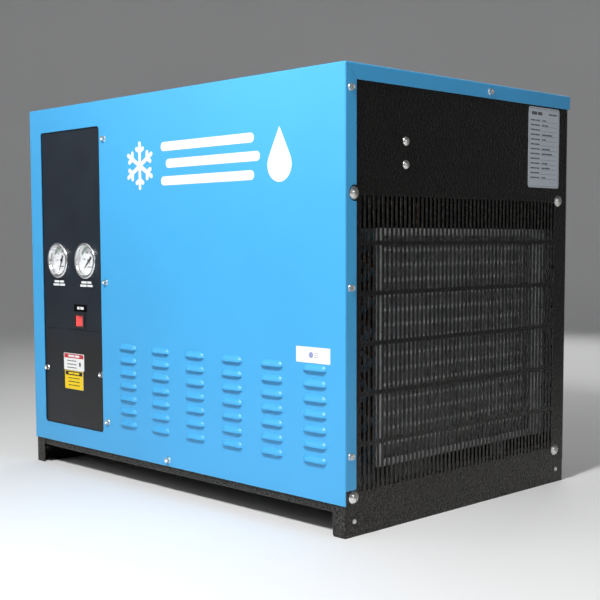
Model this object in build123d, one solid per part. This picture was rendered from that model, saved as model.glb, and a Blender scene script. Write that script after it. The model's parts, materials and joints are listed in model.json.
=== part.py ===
from build123d import *
import math
import os

# A free-standing refrigerated compressed-air dryer. A blue sheet-metal cover, bent from one
# sheet, forms the front and the top. Two black side panels reach the floor as legs and carry a
# raised base pan. Behind the right-hand grille stand an air-cooled condenser and its fan.
#
# Millimetres. +Z up, +X to the right of someone facing the front, the front faces -Y.
# The origin is on the floor, midway between the four floor bolt holes.

# ---------------------------------------------------------------- driving dimensions

WIDTH = 750.0            # over the cover's side flanges
DEPTH = 516.0            # from the cover's front face to its rear edge
HEIGHT = 610.0
SHEET = 1.5              # sheet-metal thickness of every panel
GAP = 0.2                # assembly gap between sheets that lie on each other
BEND = 2.0               # outside bend radius

COVER_BOTTOM = 43.0      # lower edge of the cover's front
COVER_FLANGE = 21.0      # side flanges of the cover
FLANGE_BOTTOM = 62.5     # lower end of the cover's side flanges
LEG_FLANGE = 22.5        # inward flanges of the side panels
PAN_BOTTOM = 31.0
PAN_LIP_TOP = 66.0
PANEL_BACK = 253.8       # rear face of the side panels

OPENING_X = (-341.0, -166.0)   # window in the cover for the control panel
OPENING_Z = (74.0, 570.0)
PLATE_SEAM = 238.0             # joint between the control panel and the box cover below it

LOUVER_COLUMNS = 6
LOUVER_ROWS = 7
LOUVER_PITCH_X = 83.0
LOUVER_PITCH_Z = 20.25
LOUVER_FIRST = (-95.0, 93.5)   # lip of the lower left louver
LOUVER_LENGTH = 44.0
LOUVER_HEIGHT = 8.5
LOUVER_RISE = 4.5

SLOT_PITCH = 9.0
SLOT_WIDTH = 5.5
SLOT_LENGTH = 60.5
SLOT_COLUMNS = 50
SLOT_ROW_PITCH = 65.5
SLOT_FIELD = (-3.2, 251.0)     # centre (y, z) of the right-hand grille

FLOOR_BOLTS = (720.0, 400.0)   # spacing of the four floor bolt holes, x by y
FLOOR_HOLE = 11.0

GAUGE_X = (-293.5, -211.5)     # suction gauge, discharge gauge
GAUGE_Z = 354.0
GAUGE_DIAMETER = 60.0
SWITCH = (-233.0, 253.5)
PANEL_PLATE_X = (-349.8, -144.0)   # the two black plates behind the cover's window

PORT_Z = 540.0
INLET_X = 60.0
OUTLET_X = -200.0
PORT_BORE = 15.2               # radius of the ports' threaded bore
PIPE_OD = 33.4
PIPE_ID = 26.6

COIL_X = (296.0, 336.0)
COIL_Y = (-150.0, 205.0)
COIL_Z = (78.0, 400.0)
COIL_ROWS = 15
TUBE_PITCH = 20.6
TUBE_OD = 9.52
FIN_PITCH = 5.0
FAN_DIAMETER = 280.0

COMPRESSOR = (40.0, 110.0)
COMPRESSOR_RADIUS = 85.0
ACCUMULATOR = (-122.0, 190.0)
ACCUMULATOR_RADIUS = 32.0
SEPARATOR = (-110.0, 20.0)
DRAIN_VALVE_X = -302.0
DRAIN_BODY_Z = 120.0
GLAND = (-302.0, 300.0)

# ---------------------------------------------------------------- derived places

FRONT = -DEPTH / 2
BACK = DEPTH / 2
SIDE = WIDTH / 2 - SHEET - GAP           # outer face of the side panels
PANEL_FRONT = FRONT + SHEET + GAP        # front face of the side panels' flanges
PLATE_FACE = FRONT + SHEET + 1.0         # face of the control panel, just behind the cover
OPENING_MID = sum(OPENING_X) / 2
COIL_MID_Y = sum(COIL_Y) / 2
COIL_MID_Z = sum(COIL_Z) / 2
BACK_FACE = PANEL_BACK + GAP + SHEET     # outer face of the rear panel

TO_FRONT, TO_BACK = (0, -1, 0), (0, 1, 0)
TO_RIGHT, TO_LEFT = (1, 0, 0), (-1, 0, 0)
UP, DOWN = (0, 0, 1), (0, 0, -1)

LOW = (Align.CENTER, Align.CENTER, Align.MIN)
HIGH = (Align.CENTER, Align.CENTER, Align.MAX)

# ---------------------------------------------------------------- fastener places: (point, outward)

FLANGE_SCREW_Z = (107.0, 325.0, 578.0)
FLANGE_SCREW_Y = FRONT + COVER_FLANGE / 2
COVER_SCREWS = (
    [((side * WIDTH / 2, FLANGE_SCREW_Y, z), (side, 0, 0)) for side in (-1, 1) for z in FLANGE_SCREW_Z]
    + [((side * WIDTH / 2, 47.0, HEIGHT - 11.5), (side, 0, 0)) for side in (-1, 1)]
    + [((-152.5, FRONT, z), TO_FRONT) for z in (93.0, 320.0, 549.0)]
    + [((5.0, FRONT, 52.5), TO_FRONT)]
)
BOX_COVER_SCREWS = [((OPENING_MID + offset, PLATE_FACE, 168.5), TO_FRONT) for offset in (-81.5, 81.5)]
BACK_SCREWS = [((x, BACK_FACE, z), TO_BACK) for x in (-362.0, 362.0) for z in (60.0, 320.0, 580.0)]
SIDE_BOLTS = [((side * SIDE, y, z), (side, 0, 0))
              for side in (-1, 1) for y in (-240.5, 229.5) for z in (52.5, 446.0)]
BRACKET_BOLTS = [((SIDE, -138.0, z), TO_RIGHT) for z in (486.0, 517.0)]
LEG_RIVETS = [((side * SIDE, y, 20.5), (side, 0, 0)) for side in (-1, 1) for y in (-239.5, 233.5)]
NOTCH_DIAMETER = 21.0    # clears the upper front bolts' heads in the cover's side flanges

SCREW_SHANK = 4.8
BOLT_SHANK = 8.0
BRACKET_SHANK = 6.0
RIVET_SHANK = 4.0
CLEARANCE = 0.6          # on the diameter of every fastener hole
RUNNING = 0.08           # radial clearance of everything that turns or slides


# ---------------------------------------------------------------- helpers

def block(x0, x1, y0, y1, z0, z1):
    """A box between two corners."""
    return Pos((x0 + x1) / 2, (y0 + y1) / 2, (z0 + z1) / 2) * Box(x1 - x0, y1 - y0, z1 - z0)


def place(shape, point, outward):
    """Puts a shape modelled on the XY plane onto a surface point, its +Z turned outward."""
    return Plane(origin=point, z_dir=outward).location * shape


def rod(start, direction, diameter, length):
    """A round bar from a point along a direction."""
    return place(Cylinder(diameter / 2, length, align=LOW), start, direction)


def step_back(point, outward, distance):
    """The point moved inward from its surface."""
    return tuple(p - distance * n for p, n in zip(point, outward))


def drill(body, sites, diameter, depth=8.0):
    """Cuts a round hole at each fastener place, from just outside the surface to depth."""
    outside = 3.0
    for point, outward in sites:
        inward = tuple(-n for n in outward)
        start = step_back(point, outward, -outside)
        body -= rod(start, inward, diameter, depth + outside)
    return body


def tube(points, outer, inner=0.0, bend=12.0):
    """A pipe swept along straight runs joined by bends, hollow when inner is not zero."""
    path = FilletPolyline(*points, radius=bend) if len(points) > 2 else Line(*points)
    start = Plane(origin=path @ 0, z_dir=path % 0)
    profile = Circle(outer / 2)
    if inner:
        profile -= Circle(inner / 2)
    return sweep(start * profile, path=path)


def rounded_plate(width, height, thickness, radius):
    """A flat plate on the XY plane with round corners, its back at z = 0."""
    return extrude(RectangleRounded(width, height, radius), thickness)


def front_plate(x, y_face, z, width, height, thickness, radius):
    """A rounded plate lying on a face that looks to the front."""
    plane = Plane(origin=(x, y_face, z), x_dir=(1, 0, 0), z_dir=TO_FRONT)
    return plane.location * rounded_plate(width, height, thickness, radius)


# ---------------------------------------------------------------- fasteners

def hexagon(across_flats, height):
    """A hexagonal prism standing on the XY plane."""
    return extrude(RegularPolygon(across_flats / 2, 6, major_radius=False), height)


def hex_washer_screw():
    """Sheet-metal screw: hexagon head on a moulded washer, with a dimple in the top."""
    head_height = 4.6
    head = hexagon(7.4, head_height)
    head = chamfer(head.edges().group_by(Axis.Z)[-1], 0.5)
    head -= Pos(0, 0, head_height) * Cone(1.0, 2.1, 1.6, align=HIGH)
    washer = Cone(5.0, 4.3, 1.1, align=LOW)
    shank = Cylinder(SCREW_SHANK / 2, 9.0, align=HIGH)
    return head + washer + shank


def truss_bolt(head_radius, head_height, shank, length):
    """Domed machine bolt with a cross recess."""
    sphere_radius = (head_radius ** 2 + head_height ** 2) / (2 * head_height)
    dome = Pos(0, 0, head_height - sphere_radius) * Sphere(sphere_radius)
    dome = dome & Cylinder(head_radius, head_height, align=LOW)
    blade = 1.6
    for length_x, length_y in ((head_radius, blade), (blade, head_radius)):
        dome -= Pos(0, 0, head_height) * Box(length_x, length_y, head_height)
    return dome + Cylinder(shank / 2, length, align=HIGH)


def rivet():
    """Blind rivet with a low dome head."""
    head = Cylinder(3.4, 1.4, align=LOW)
    head = fillet(head.edges().group_by(Axis.Z)[-1], 1.1)
    return head + Cylinder(RIVET_SHANK / 2, 5.0, align=HIGH)


def fastener_group(fastener, sites):
    return Compound([place(fastener, point, outward) for point, outward in sites])


# ---------------------------------------------------------------- cabinet

def capsule(radius, straight):
    """A bar along X with round ends."""
    bar = Rot(0, 90, 0) * Cylinder(radius, straight)
    return bar + Pos(straight / 2, 0, 0) * Sphere(radius) + Pos(-straight / 2, 0, 0) * Sphere(radius)


def louver():
    """One pressed louver at the origin of the front face: (hood to add, opening to cut).
    The hood is the upper half of a capsule whose axis lies behind the sheet, open along its lip."""
    radius = (LOUVER_HEIGHT ** 2 + LOUVER_RISE ** 2) / (2 * LOUVER_RISE)
    setback = radius - LOUVER_RISE
    straight = LOUVER_LENGTH - 2 * LOUVER_HEIGHT
    above_lip = block(-LOUVER_LENGTH, LOUVER_LENGTH, -radius, SHEET, 0, radius)
    wall = 1.1
    outer = (Pos(0, setback, 0) * capsule(radius, straight)) & above_lip
    inner = (Pos(0, setback, 0) * capsule(radius - wall, straight)) & above_lip
    return outer - inner, inner


def louver_places():
    return [Pos(LOUVER_FIRST[0] + column * LOUVER_PITCH_X, FRONT, LOUVER_FIRST[1] + row * LOUVER_PITCH_Z)
            for column in range(LOUVER_COLUMNS) for row in range(LOUVER_ROWS)]


def front_top_cover():
    """Front and top in one bent sheet, with mitred side flanges, a window and pressed louvers."""
    far = 400.0
    cover = block(-WIDTH / 2, WIDTH / 2, FRONT, BACK, COVER_BOTTOM, HEIGHT)
    bends = cover.edges().filter_by(Axis.Z).group_by(Axis.Y)[0]
    bends += cover.edges().group_by(Axis.Z)[-1].filter_by(Axis.Y)
    bends += cover.edges().group_by(Axis.Z)[-1].filter_by(Axis.X).group_by(Axis.Y)[0]
    cover = fillet(bends, BEND)
    cover -= block(SHEET - WIDTH / 2, WIDTH / 2 - SHEET, FRONT + SHEET, far, 0, HEIGHT - SHEET)
    cover -= block(-far, far, FRONT + COVER_FLANGE, far, 0, HEIGHT - COVER_FLANGE)
    corner_radius = 4.0
    saw_cut = 0.35
    for side in (-1, 1):
        edge = side * WIDTH / 2
        x0, x1 = sorted((edge - side * SHEET * 1.5, edge + side * 5))
        cover -= block(x0, x1, FRONT + SHEET, 0, 0, FLANGE_BOTTOM)
        round_centre = Pos(edge, BACK - corner_radius, HEIGHT - COVER_FLANGE + corner_radius)
        corner = Pos(edge, BACK, HEIGHT - COVER_FLANGE) * Box(4 * SHEET, 2 * corner_radius, 2 * corner_radius)
        cover -= corner - round_centre * Rot(0, 90, 0) * Cylinder(corner_radius, 8 * SHEET)
        mitre = Rot(-45, 0, 0) * Box(SHEET * 3, 1.5 * COVER_FLANGE, saw_cut)
        cover -= Pos(edge, FRONT + 0.62 * COVER_FLANGE, HEIGHT - 0.62 * COVER_FLANGE) * mitre
    window_corner = 6.0
    cover -= front_plate(OPENING_MID, FRONT + 5, sum(OPENING_Z) / 2, OPENING_X[1] - OPENING_X[0],
                         OPENING_Z[1] - OPENING_Z[0], 10, window_corner)
    hood, opening = louver()
    places = louver_places()
    cover = cover.cut(*[spot * opening for spot in places])
    cover = cover.fuse(*[spot * hood for spot in places])
    notches = [site for site in SIDE_BOLTS if site[0][1] < 0 and site[0][2] > FLANGE_BOTTOM]
    cover = drill(cover, notches, NOTCH_DIAMETER, depth=2.0)
    return drill(cover, COVER_SCREWS, SCREW_SHANK + CLEARANCE, depth=2.0)


def slot_field(columns, rows, centre):
    """The grille's vertical slots, drawn on a plane whose axes are the panel's width and height."""
    slots = Sketch()
    slot = SlotOverall(SLOT_LENGTH, SLOT_WIDTH, rotation=90)
    spots = GridLocations(SLOT_PITCH, SLOT_ROW_PITCH, columns, rows)
    slots += [Pos(*centre) * spot * slot for spot in spots]
    return slots


def side_panel(slot_sketch):
    """Right-hand side panel: web, upright flanges front and rear, short flanges top and bottom."""
    web_x = SIDE - SHEET
    inner = SIDE - LEG_FLANGE
    top = HEIGHT - SHEET - GAP
    panel = block(inner, SIDE, PANEL_FRONT, PANEL_BACK, 0, top)
    uprights = panel.edges().filter_by(Axis.Z).group_by(Axis.X)[-1]
    panel = fillet(uprights, BEND)
    panel -= block(inner - 1, web_x, PANEL_FRONT + SHEET, PANEL_BACK - SHEET, -1, top + 1)
    corner_radius = 4.0
    for y in (PANEL_FRONT, PANEL_BACK):
        for z, round_z in ((0, corner_radius), (top, top - corner_radius)):
            corner = Pos(inner, y, z) * Box(2 * corner_radius, 8, 2 * corner_radius)
            round_centre = Pos(inner + corner_radius, y, round_z)
            panel -= corner - round_centre * Rot(90, 0, 0) * Cylinder(corner_radius, 10)
    end_relief = 12.0
    for z in (0, top - SHEET):
        panel += block(inner, web_x, PANEL_FRONT + end_relief, PANEL_BACK - end_relief, z, z + SHEET)
    wall = Plane(origin=(web_x - 1, 0, 0), x_dir=(0, 1, 0), z_dir=TO_RIGHT)
    panel -= extrude(wall * slot_sketch, SHEET + 2)
    for y in (-FLOOR_BOLTS[1] / 2, FLOOR_BOLTS[1] / 2):
        panel -= Pos(FLOOR_BOLTS[0] / 2, y, 0) * Cylinder(FLOOR_HOLE / 2, 10)
    right = [site for site in COVER_SCREWS + SIDE_BOLTS + LEG_RIVETS if site[1] == TO_RIGHT]
    panel = drill(panel, [s for s in right if s in COVER_SCREWS], SCREW_SHANK + CLEARANCE)
    panel = drill(panel, [s for s in right if s in SIDE_BOLTS], BOLT_SHANK + CLEARANCE)
    panel = drill(panel, [s for s in right if s in LEG_RIVETS], RIVET_SHANK + CLEARANCE)
    back_holes = [s for s in BACK_SCREWS if s[0][0] > 0]
    return drill(panel, back_holes, SCREW_SHANK + CLEARANCE)


def right_side_panel():
    """Six rows of slots let cooling air into the condenser."""
    panel = side_panel(slot_field(SLOT_COLUMNS, 6, SLOT_FIELD))
    return drill(panel, BRACKET_BOLTS, BRACKET_SHANK + CLEARANCE)


def left_side_panel():
    """Two rows of the same slots, low down, let warm air out."""
    low_rows = (SLOT_FIELD[0], 151.0)
    return mirror(side_panel(slot_field(SLOT_COLUMNS, 2, low_rows)), Plane.YZ)


def base_pan():
    """Tray between the side panels, lips turned up."""
    side = SIDE - SHEET - GAP
    front = PANEL_FRONT + SHEET + GAP
    back = PANEL_BACK - SHEET - GAP
    pan = block(-side, side, front, back, PAN_BOTTOM, PAN_LIP_TOP)
    pan = fillet(pan.edges().group_by(Axis.Z)[0], BEND)
    pan -= block(-side + SHEET, side - SHEET, front + SHEET, back - SHEET, PAN_BOTTOM + SHEET, HEIGHT)
    pan = drill(pan, [s for s in COVER_SCREWS if s[0][2] < PAN_LIP_TOP], SCREW_SHANK + CLEARANCE)
    pan = drill(pan, [s for s in BACK_SCREWS if s[0][2] < PAN_LIP_TOP], SCREW_SHANK + CLEARANCE, 12)
    pan = drill(pan, [s for s in SIDE_BOLTS if s[0][2] < PAN_LIP_TOP], BOLT_SHANK + CLEARANCE)
    for x, y in compressor_feet():
        pan -= Pos(x, y, PAN_BOTTOM) * Cylinder((BOLT_SHANK + CLEARANCE) / 2, 20)
    return pan


def back_panel():
    """Rear panel with outlet slots, port holes, a drain window and a cable gland hole."""
    half_width = SIDE - SHEET + 0.2
    panel = block(-half_width, half_width, PANEL_BACK + GAP, BACK_FACE, 34.0, HEIGHT - SHEET - GAP - 1.0)
    wall = Plane(origin=(0, PANEL_BACK - 1, 0), x_dir=(1, 0, 0), z_dir=TO_FRONT)
    panel -= extrude(wall * slot_field(40, 3, (60.0, 230.0)), SHEET + 4, both=True)
    port_hole = COUPLING_DIAMETER + 2.0
    round_holes = [((INLET_X, PORT_Z), port_hole), ((OUTLET_X, PORT_Z), port_hole),
                   ((DRAIN_VALVE_X, DRAIN_BODY_Z), OUTLET_THREAD + 0.8), (GLAND, GLAND_THREAD + CLEARANCE)]
    for (x, z), diameter in round_holes:
        panel -= rod((x, PANEL_BACK - 5, z), TO_BACK, diameter, 20)
    timer_window = 62.0
    panel -= front_plate(DRAIN_VALVE_X, PANEL_BACK + 8, sum(TIMER_Z) / 2, timer_window, timer_window, 20, 4)
    return drill(panel, BACK_SCREWS, SCREW_SHANK + CLEARANCE)


# ---------------------------------------------------------------- control panel

def control_panel():
    """Upper black plate with two gauge holes and the switch cut-out."""
    plate = block(*PANEL_PLATE_X, PLATE_FACE, PLATE_FACE + SHEET, PLATE_SEAM + 0.4, 600.0)
    for x in GAUGE_X:
        plate -= rod((x, PLATE_FACE - 5, GAUGE_Z), TO_BACK, 2 * CASE_RADIUS + 1.0, 10)
    cut_out = (SWITCH_BODY[0] + 0.6, SWITCH_BODY[1] + 0.6)
    plate -= front_plate(SWITCH[0], PLATE_FACE + 5, SWITCH[1], *cut_out, 10, 1.0)
    return drill(plate, COVER_SCREWS, SCREW_SHANK + CLEARANCE)


def electrical_box_cover():
    """Lower black plate that closes the electrical box."""
    plate = block(*PANEL_PLATE_X, PLATE_FACE, PLATE_FACE + SHEET, PAN_LIP_TOP + 2, PLATE_SEAM)
    plate = drill(plate, COVER_SCREWS, SCREW_SHANK + CLEARANCE)
    return drill(plate, BOX_COVER_SCREWS, SCREW_SHANK + CLEARANCE)


BOX_X = (-344.0, -163.0)
BOX_Y = (PLATE_FACE + SHEET + GAP, -150.0)
BOX_Z = (72.0, 234.0)
BOX_CABLE_HOLES = ((-300.0, 84.0), (-190.0, 120.0))
CABLE_OD = 7.0
CABLE_HOLE = CABLE_OD + 1.6
FAN_CABLE_EXIT = (-200.0, 200.0)
MOTOR_CABLE_Z = 200.0


def electrical_box():
    """Open-fronted steel box behind the lower plate."""
    box = block(*BOX_X, *BOX_Y, *BOX_Z)
    box -= block(BOX_X[0] + SHEET, BOX_X[1] - SHEET, BOX_Y[0] - 1, BOX_Y[1] - SHEET,
                 BOX_Z[0] + SHEET, BOX_Z[1] - SHEET)
    ear_width, ear_half_height = 16.0, 10.0
    ear_z = BOX_COVER_SCREWS[0][0][2]
    for x0, x1 in ((BOX_X[0], BOX_X[0] + ear_width), (BOX_X[1] - ear_width, BOX_X[1])):
        box += block(x0, x1, BOX_Y[0], BOX_Y[0] + SHEET, ear_z - ear_half_height, ear_z + ear_half_height)
    box = drill(box, BOX_COVER_SCREWS, SCREW_SHANK + CLEARANCE, 12)
    for x, z in BOX_CABLE_HOLES:
        box -= rod((x, BOX_Y[1] - 5, z), TO_BACK, CABLE_HOLE, 10)
    box -= rod((BOX_X[1] - 5, *FAN_CABLE_EXIT), TO_RIGHT, CABLE_HOLE, 10)
    return box


def contactor():
    """Compressor contactor: moulded body with three terminal bays and a mounting rail foot."""
    x, z = -300.0, 137.5
    foot, depth, half_width, half_height = 6.0, 62.0, 25.0, 37.5
    wall = BOX_Y[1] - SHEET
    body = block(x - half_width, x + half_width, wall - depth, wall - foot, z - half_height, z + half_height)
    body = fillet(body.edges().filter_by(Axis.Y), 2)
    foot_x, foot_z = half_width + 4.0, half_height + 8.0
    body += block(x - foot_x, x + foot_x, wall - foot, wall, z - foot_z, z + foot_z)
    for bay_x in (x - 17, x, x + 17):
        for bay_z in (z - half_height, z + half_height):
            body -= Pos(bay_x, wall - depth, bay_z) * Box(9, 26, 16)
    return body


def run_capacitor():
    """Oval motor run capacitor with two spade terminals."""
    x, y = -232.0, BOX_Y[1] - SHEET - 24.0
    bottom, height = 92.0, 90.0
    can = Pos(x, y, bottom) * extrude(SlotOverall(56, 42), height)
    can = fillet(can.edges().group_by(Axis.Z)[-1], 3)
    top = bottom + height
    for blade_x in (x - 10, x + 10):
        can += block(blade_x - 3, blade_x + 3, y - 0.5, y + 0.5, top - 1, top + 10)
    return can


def terminal_block():
    """Four-way screw terminal strip."""
    left, bottom = -265.0, 202.0
    way_width, height, depth = 20.0, 24.0, 22.0
    wall = BOX_Y[1] - SHEET
    strip = block(left, left + 4 * way_width, wall - depth, wall, bottom, bottom + height)
    floor = wall - 12.0
    for way in range(4):
        x = left + (way + 0.5) * way_width
        strip -= block(x - 7, x + 7, wall - 30, floor, bottom + 4, bottom + height - 4)
        strip += rod((x, floor, bottom + height / 2), TO_FRONT, 7.0, 5.0)
    return strip


SWITCH_BEZEL = (30.0, 24.5)
SWITCH_BODY = (26.4, 21.0)
ROCKER_SIZE = (22.0, 17.4)
ROCKER_TILT = 10.0
ROCKER_PIN = 2.6
ROCKER_PIVOT_Y = PLATE_FACE + 5.5


def rocker_housing():
    """Snap-in switch frame lying on its side, with two blade terminals behind."""
    x, z = SWITCH
    frame = front_plate(x, PLATE_FACE, z, *SWITCH_BEZEL, 2.2, 1.5)
    frame = fillet(frame.edges().group_by(Axis.Y)[0], 0.7)
    body_x, body_z = SWITCH_BODY[0] / 2, SWITCH_BODY[1] / 2
    back = PLATE_FACE + 20.0
    frame += block(x - body_x, x + body_x, PLATE_FACE, back, z - body_z, z + body_z)
    well_x, well_z = ROCKER_SIZE[0] / 2 + 0.4, ROCKER_SIZE[1] / 2 + 0.3
    frame -= block(x - well_x, x + well_x, PLATE_FACE - 5, back - 4, z - well_z, z + well_z)
    for blade_x in (x - 7, x + 7):
        frame += block(blade_x - 0.4, blade_x + 0.4, back, back + 10, z - 3, z + 3)
    pin_length = SWITCH_BODY[1] - 0.2
    return frame + rod((x, ROCKER_PIVOT_Y, z - pin_length / 2), UP, ROCKER_PIN, pin_length)


def rocker_button():
    """Red rocker tipped to one side. Its ends are arcs about the pivot, its face a shallow V."""
    x, z = SWITCH
    radius = ROCKER_SIZE[0] / 2
    rise, back = 8.2, -5.0
    dip, outside = 2.4, radius + 2.0
    body = Circle(radius) & (Pos(0, (rise + back) / 2) * Rectangle(2 * radius, rise - back))
    valley = Polygon((-outside, rise + 2), (-outside, rise), (0, rise - dip),
                     (outside, rise), (outside, rise + 2), align=None)
    profile = body - valley - Circle(ROCKER_PIN / 2 + RUNNING)
    rocker = extrude(profile, ROCKER_SIZE[1])
    upright = Plane(origin=(x, ROCKER_PIVOT_Y, z - ROCKER_SIZE[1] / 2), x_dir=TO_LEFT, z_dir=UP)
    return upright.location * (Rot(0, 0, ROCKER_TILT) * rocker)


# Each gauge is modelled about its own axis, +Z towards the reader, z = 0 at the panel face.
CASE_RADIUS = 26.0
CASE_DEPTH = 28.0
CASE_STEM = 14.0
DIAL_BACK = -7.0
DIAL_RADIUS = 24.5
BEZEL_RISE = 3.2
LENS_BACK = 0.6
LENS_THICKNESS = 1.5
SPINDLE = 2.4            # of the gauge pointers


def gauge_planes():
    return [Plane(origin=(x, PLATE_FACE, GAUGE_Z), x_dir=TO_RIGHT, z_dir=TO_FRONT).location
            for x in GAUGE_X]


def disc(radius, back, thickness):
    """A gauge part's disc, its back at a height above the panel face."""
    return Pos(0, 0, back) * Cylinder(radius, thickness, align=LOW)


def through_hole(radius):
    return Cylinder(radius, 4 * CASE_DEPTH)


def gauge_cases():
    """Steel cups with a seat for the dial and a stem at the back."""
    wall, seat = 1.0, 1.2
    cup = disc(CASE_RADIUS, -CASE_DEPTH, CASE_DEPTH) - disc(CASE_RADIUS - wall, wall - CASE_DEPTH, CASE_DEPTH)
    cup += disc(CASE_RADIUS - wall, DIAL_BACK - seat, seat) - disc(19.0, -20.0, 30.0)
    cup += disc(5.5, -CASE_DEPTH - CASE_STEM, CASE_STEM)
    return Compound([spot * cup for spot in gauge_planes()])


def gauge_bezels():
    """Polished rings with a rolled front edge and a deep inner wall down to the dial."""
    ring = disc(GAUGE_DIAMETER / 2, 0, BEZEL_RISE)
    ring = fillet(ring.edges().group_by(Axis.Z)[-1], 2.2)
    wall_back = DIAL_BACK + 1.0
    ring += disc(DIAL_RADIUS + 0.3, wall_back, 8.0)
    ring -= through_hole(DIAL_RADIUS - 1.2)
    ring -= disc(DIAL_RADIUS + 0.1, LENS_BACK, LENS_THICKNESS)
    return Compound([spot * ring for spot in gauge_planes()])


def gauge_dials():
    """Flat white dials with a hole for the spindle."""
    dial = disc(DIAL_RADIUS, DIAL_BACK, 0.8) - through_hole(SPINDLE / 2 + RUNNING)
    return Compound([spot * dial for spot in gauge_planes()])


def gauge_lenses():
    """Clear windows held in the bezels."""
    lens = disc(DIAL_RADIUS, LENS_BACK, LENS_THICKNESS)
    return Compound([spot * lens for spot in gauge_planes()])


def pointer(index, needle_angle):
    """A needle on its spindle. The angle is anticlockwise from the reader's right."""
    tip, tail = 18.5, -9.0
    needle = Polygon((tail, -1.7), (tail, 1.7), (0, 1.0), (tip, 0.25), (tip, -0.25), (0, -1.0), align=None)
    under, thick = -4.6, 0.6
    turning = Pos(0, 0, under) * extrude(needle, thick)
    turning += disc(2.6, under, thick)
    turning += disc(SPINDLE / 2, -12.0, 8.6)
    return gauge_planes()[index] * (Rot(0, 0, needle_angle) * turning)


def suction_pointer():
    return pointer(0, 247.0)


def discharge_pointer():
    return pointer(1, 222.0)


LABEL = 0.3


def name_tags():
    """Blank strips: one under each gauge and one above the switch."""
    tags = [(GAUGE_X[0], 315.5, 38, 11), (GAUGE_X[1], 315.5, 42, 11), (SWITCH[0] + 2.5, 275.0, 38.5, 12)]
    return Compound([front_plate(x, PLATE_FACE, z, w, h, LABEL, 1.0) for x, z, w, h in tags])


def stickers():
    """Two notices on the electrical box cover and one strip beside the louvers."""
    return Compound([
        front_plate(OPENING_MID + 0.5, PLATE_FACE, 183.4, 60.5, 28.6, LABEL, 1.2),
        front_plate(OPENING_MID, PLATE_FACE, 152.8, 55.0, 31.4, LABEL, 1.2),
        front_plate(317.0, FRONT, 235.5, 63.0, 21.0, LABEL, 1.0),
    ])


def nameplate():
    """Blank aluminium data plate on the right side panel."""
    plane = Plane(origin=(SIDE, 188.5, 526.0), x_dir=(0, 1, 0), z_dir=TO_RIGHT)
    return plane.location * rounded_plate(83.0, 121.5, 0.5, 4.0)


# ---------------------------------------------------------------- condenser and fan

COIL_COLUMNS = (COIL_X[0] + 10.0, COIL_X[1] - 10.0)
FIN_INSET = 2.0          # of the fins from the coil's top and bottom
TUBE_REACH = 10.0        # of the tubes beyond the end plates
TUBE_WALL = 0.8


def coil_rows(column):
    """Heights of one column's tubes. The two columns are staggered by half a pitch."""
    count = COIL_ROWS if column == 0 else COIL_ROWS - 1
    first = COIL_MID_Z - (count - 1) * TUBE_PITCH / 2
    return [first + row * TUBE_PITCH for row in range(count)]


def coil_holes(diameter):
    """Tube holes of the coil, on a plane whose axes are world X and Z."""
    return [Pos(x, z) * Circle(diameter / 2)
            for column, x in enumerate(COIL_COLUMNS) for z in coil_rows(column)]


def coil_plane(y):
    return Plane(origin=(0, y, 0), x_dir=(1, 0, 0), z_dir=TO_FRONT)


def condenser_fins():
    """Thin vertical plates along the coil, threaded on the tubes."""
    height = COIL_Z[1] - COIL_Z[0] - 2 * FIN_INSET
    outline = Pos(sum(COIL_X) / 2, COIL_MID_Z) * Rectangle(COIL_X[1] - COIL_X[0], height)
    fin = extrude(coil_plane(0) * (outline - coil_holes(TUBE_OD + 0.3)), 0.35)
    count = int((COIL_Y[1] - COIL_Y[0] - 8) / FIN_PITCH)
    first = COIL_MID_Y - (count - 1) * FIN_PITCH / 2
    return Compound([Pos(0, first + n * FIN_PITCH, 0) * fin for n in range(count)])


def condenser_tubes():
    """One serpentine copper tube per column, its ends at the rear."""
    serpentines = []
    for column, x in enumerate(COIL_COLUMNS):
        rows = coil_rows(column)
        if len(rows) % 2:
            rows = rows[:-1]
        points = []
        y_near, y_far = COIL_Y[1] + TUBE_REACH, COIL_Y[0] - TUBE_REACH
        for pair in range(0, len(rows), 2):
            points += [(x, y_near, rows[pair]), (x, y_far, rows[pair])]
            points += [(x, y_far, rows[pair + 1]), (x, y_near, rows[pair + 1])]
        bend = TUBE_PITCH / 2 - 0.05
        serpentines.append(tube(points, TUBE_OD, TUBE_OD - 2 * TUBE_WALL, bend))
    return Compound(serpentines)


FRAME_X = (COIL_X[0] - 2.0, COIL_X[1] + 8.0)
FRAME_Z = (COIL_Z[0] - 2.0, COIL_Z[1] + 2.0)
POST_Y = (219.0, 248.0)        # outside faces of the upright channel at the coil's rear end
POST_DEPTH = 12.0
POST_NOTCHES = (152.0, 216.0, 279.0, 343.0)


def coil_post():
    """Upright channel beside the coil, open towards the grille, its two edges notched."""
    x0, x1 = FRAME_X[1] - SHEET, FRAME_X[1] + POST_DEPTH
    post = block(x0, x1, *POST_Y, *FRAME_Z)
    post -= block(x0 + SHEET, x1 + 1, POST_Y[0] + SHEET, POST_Y[1] - SHEET, FRAME_Z[0] - 1, FRAME_Z[1] + 1)
    for z in POST_NOTCHES:
        post -= Pos(x1, sum(POST_Y) / 2, z) * Box(8.0, 2 * (POST_Y[1] - POST_Y[0]), 5.0)
    return post


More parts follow.
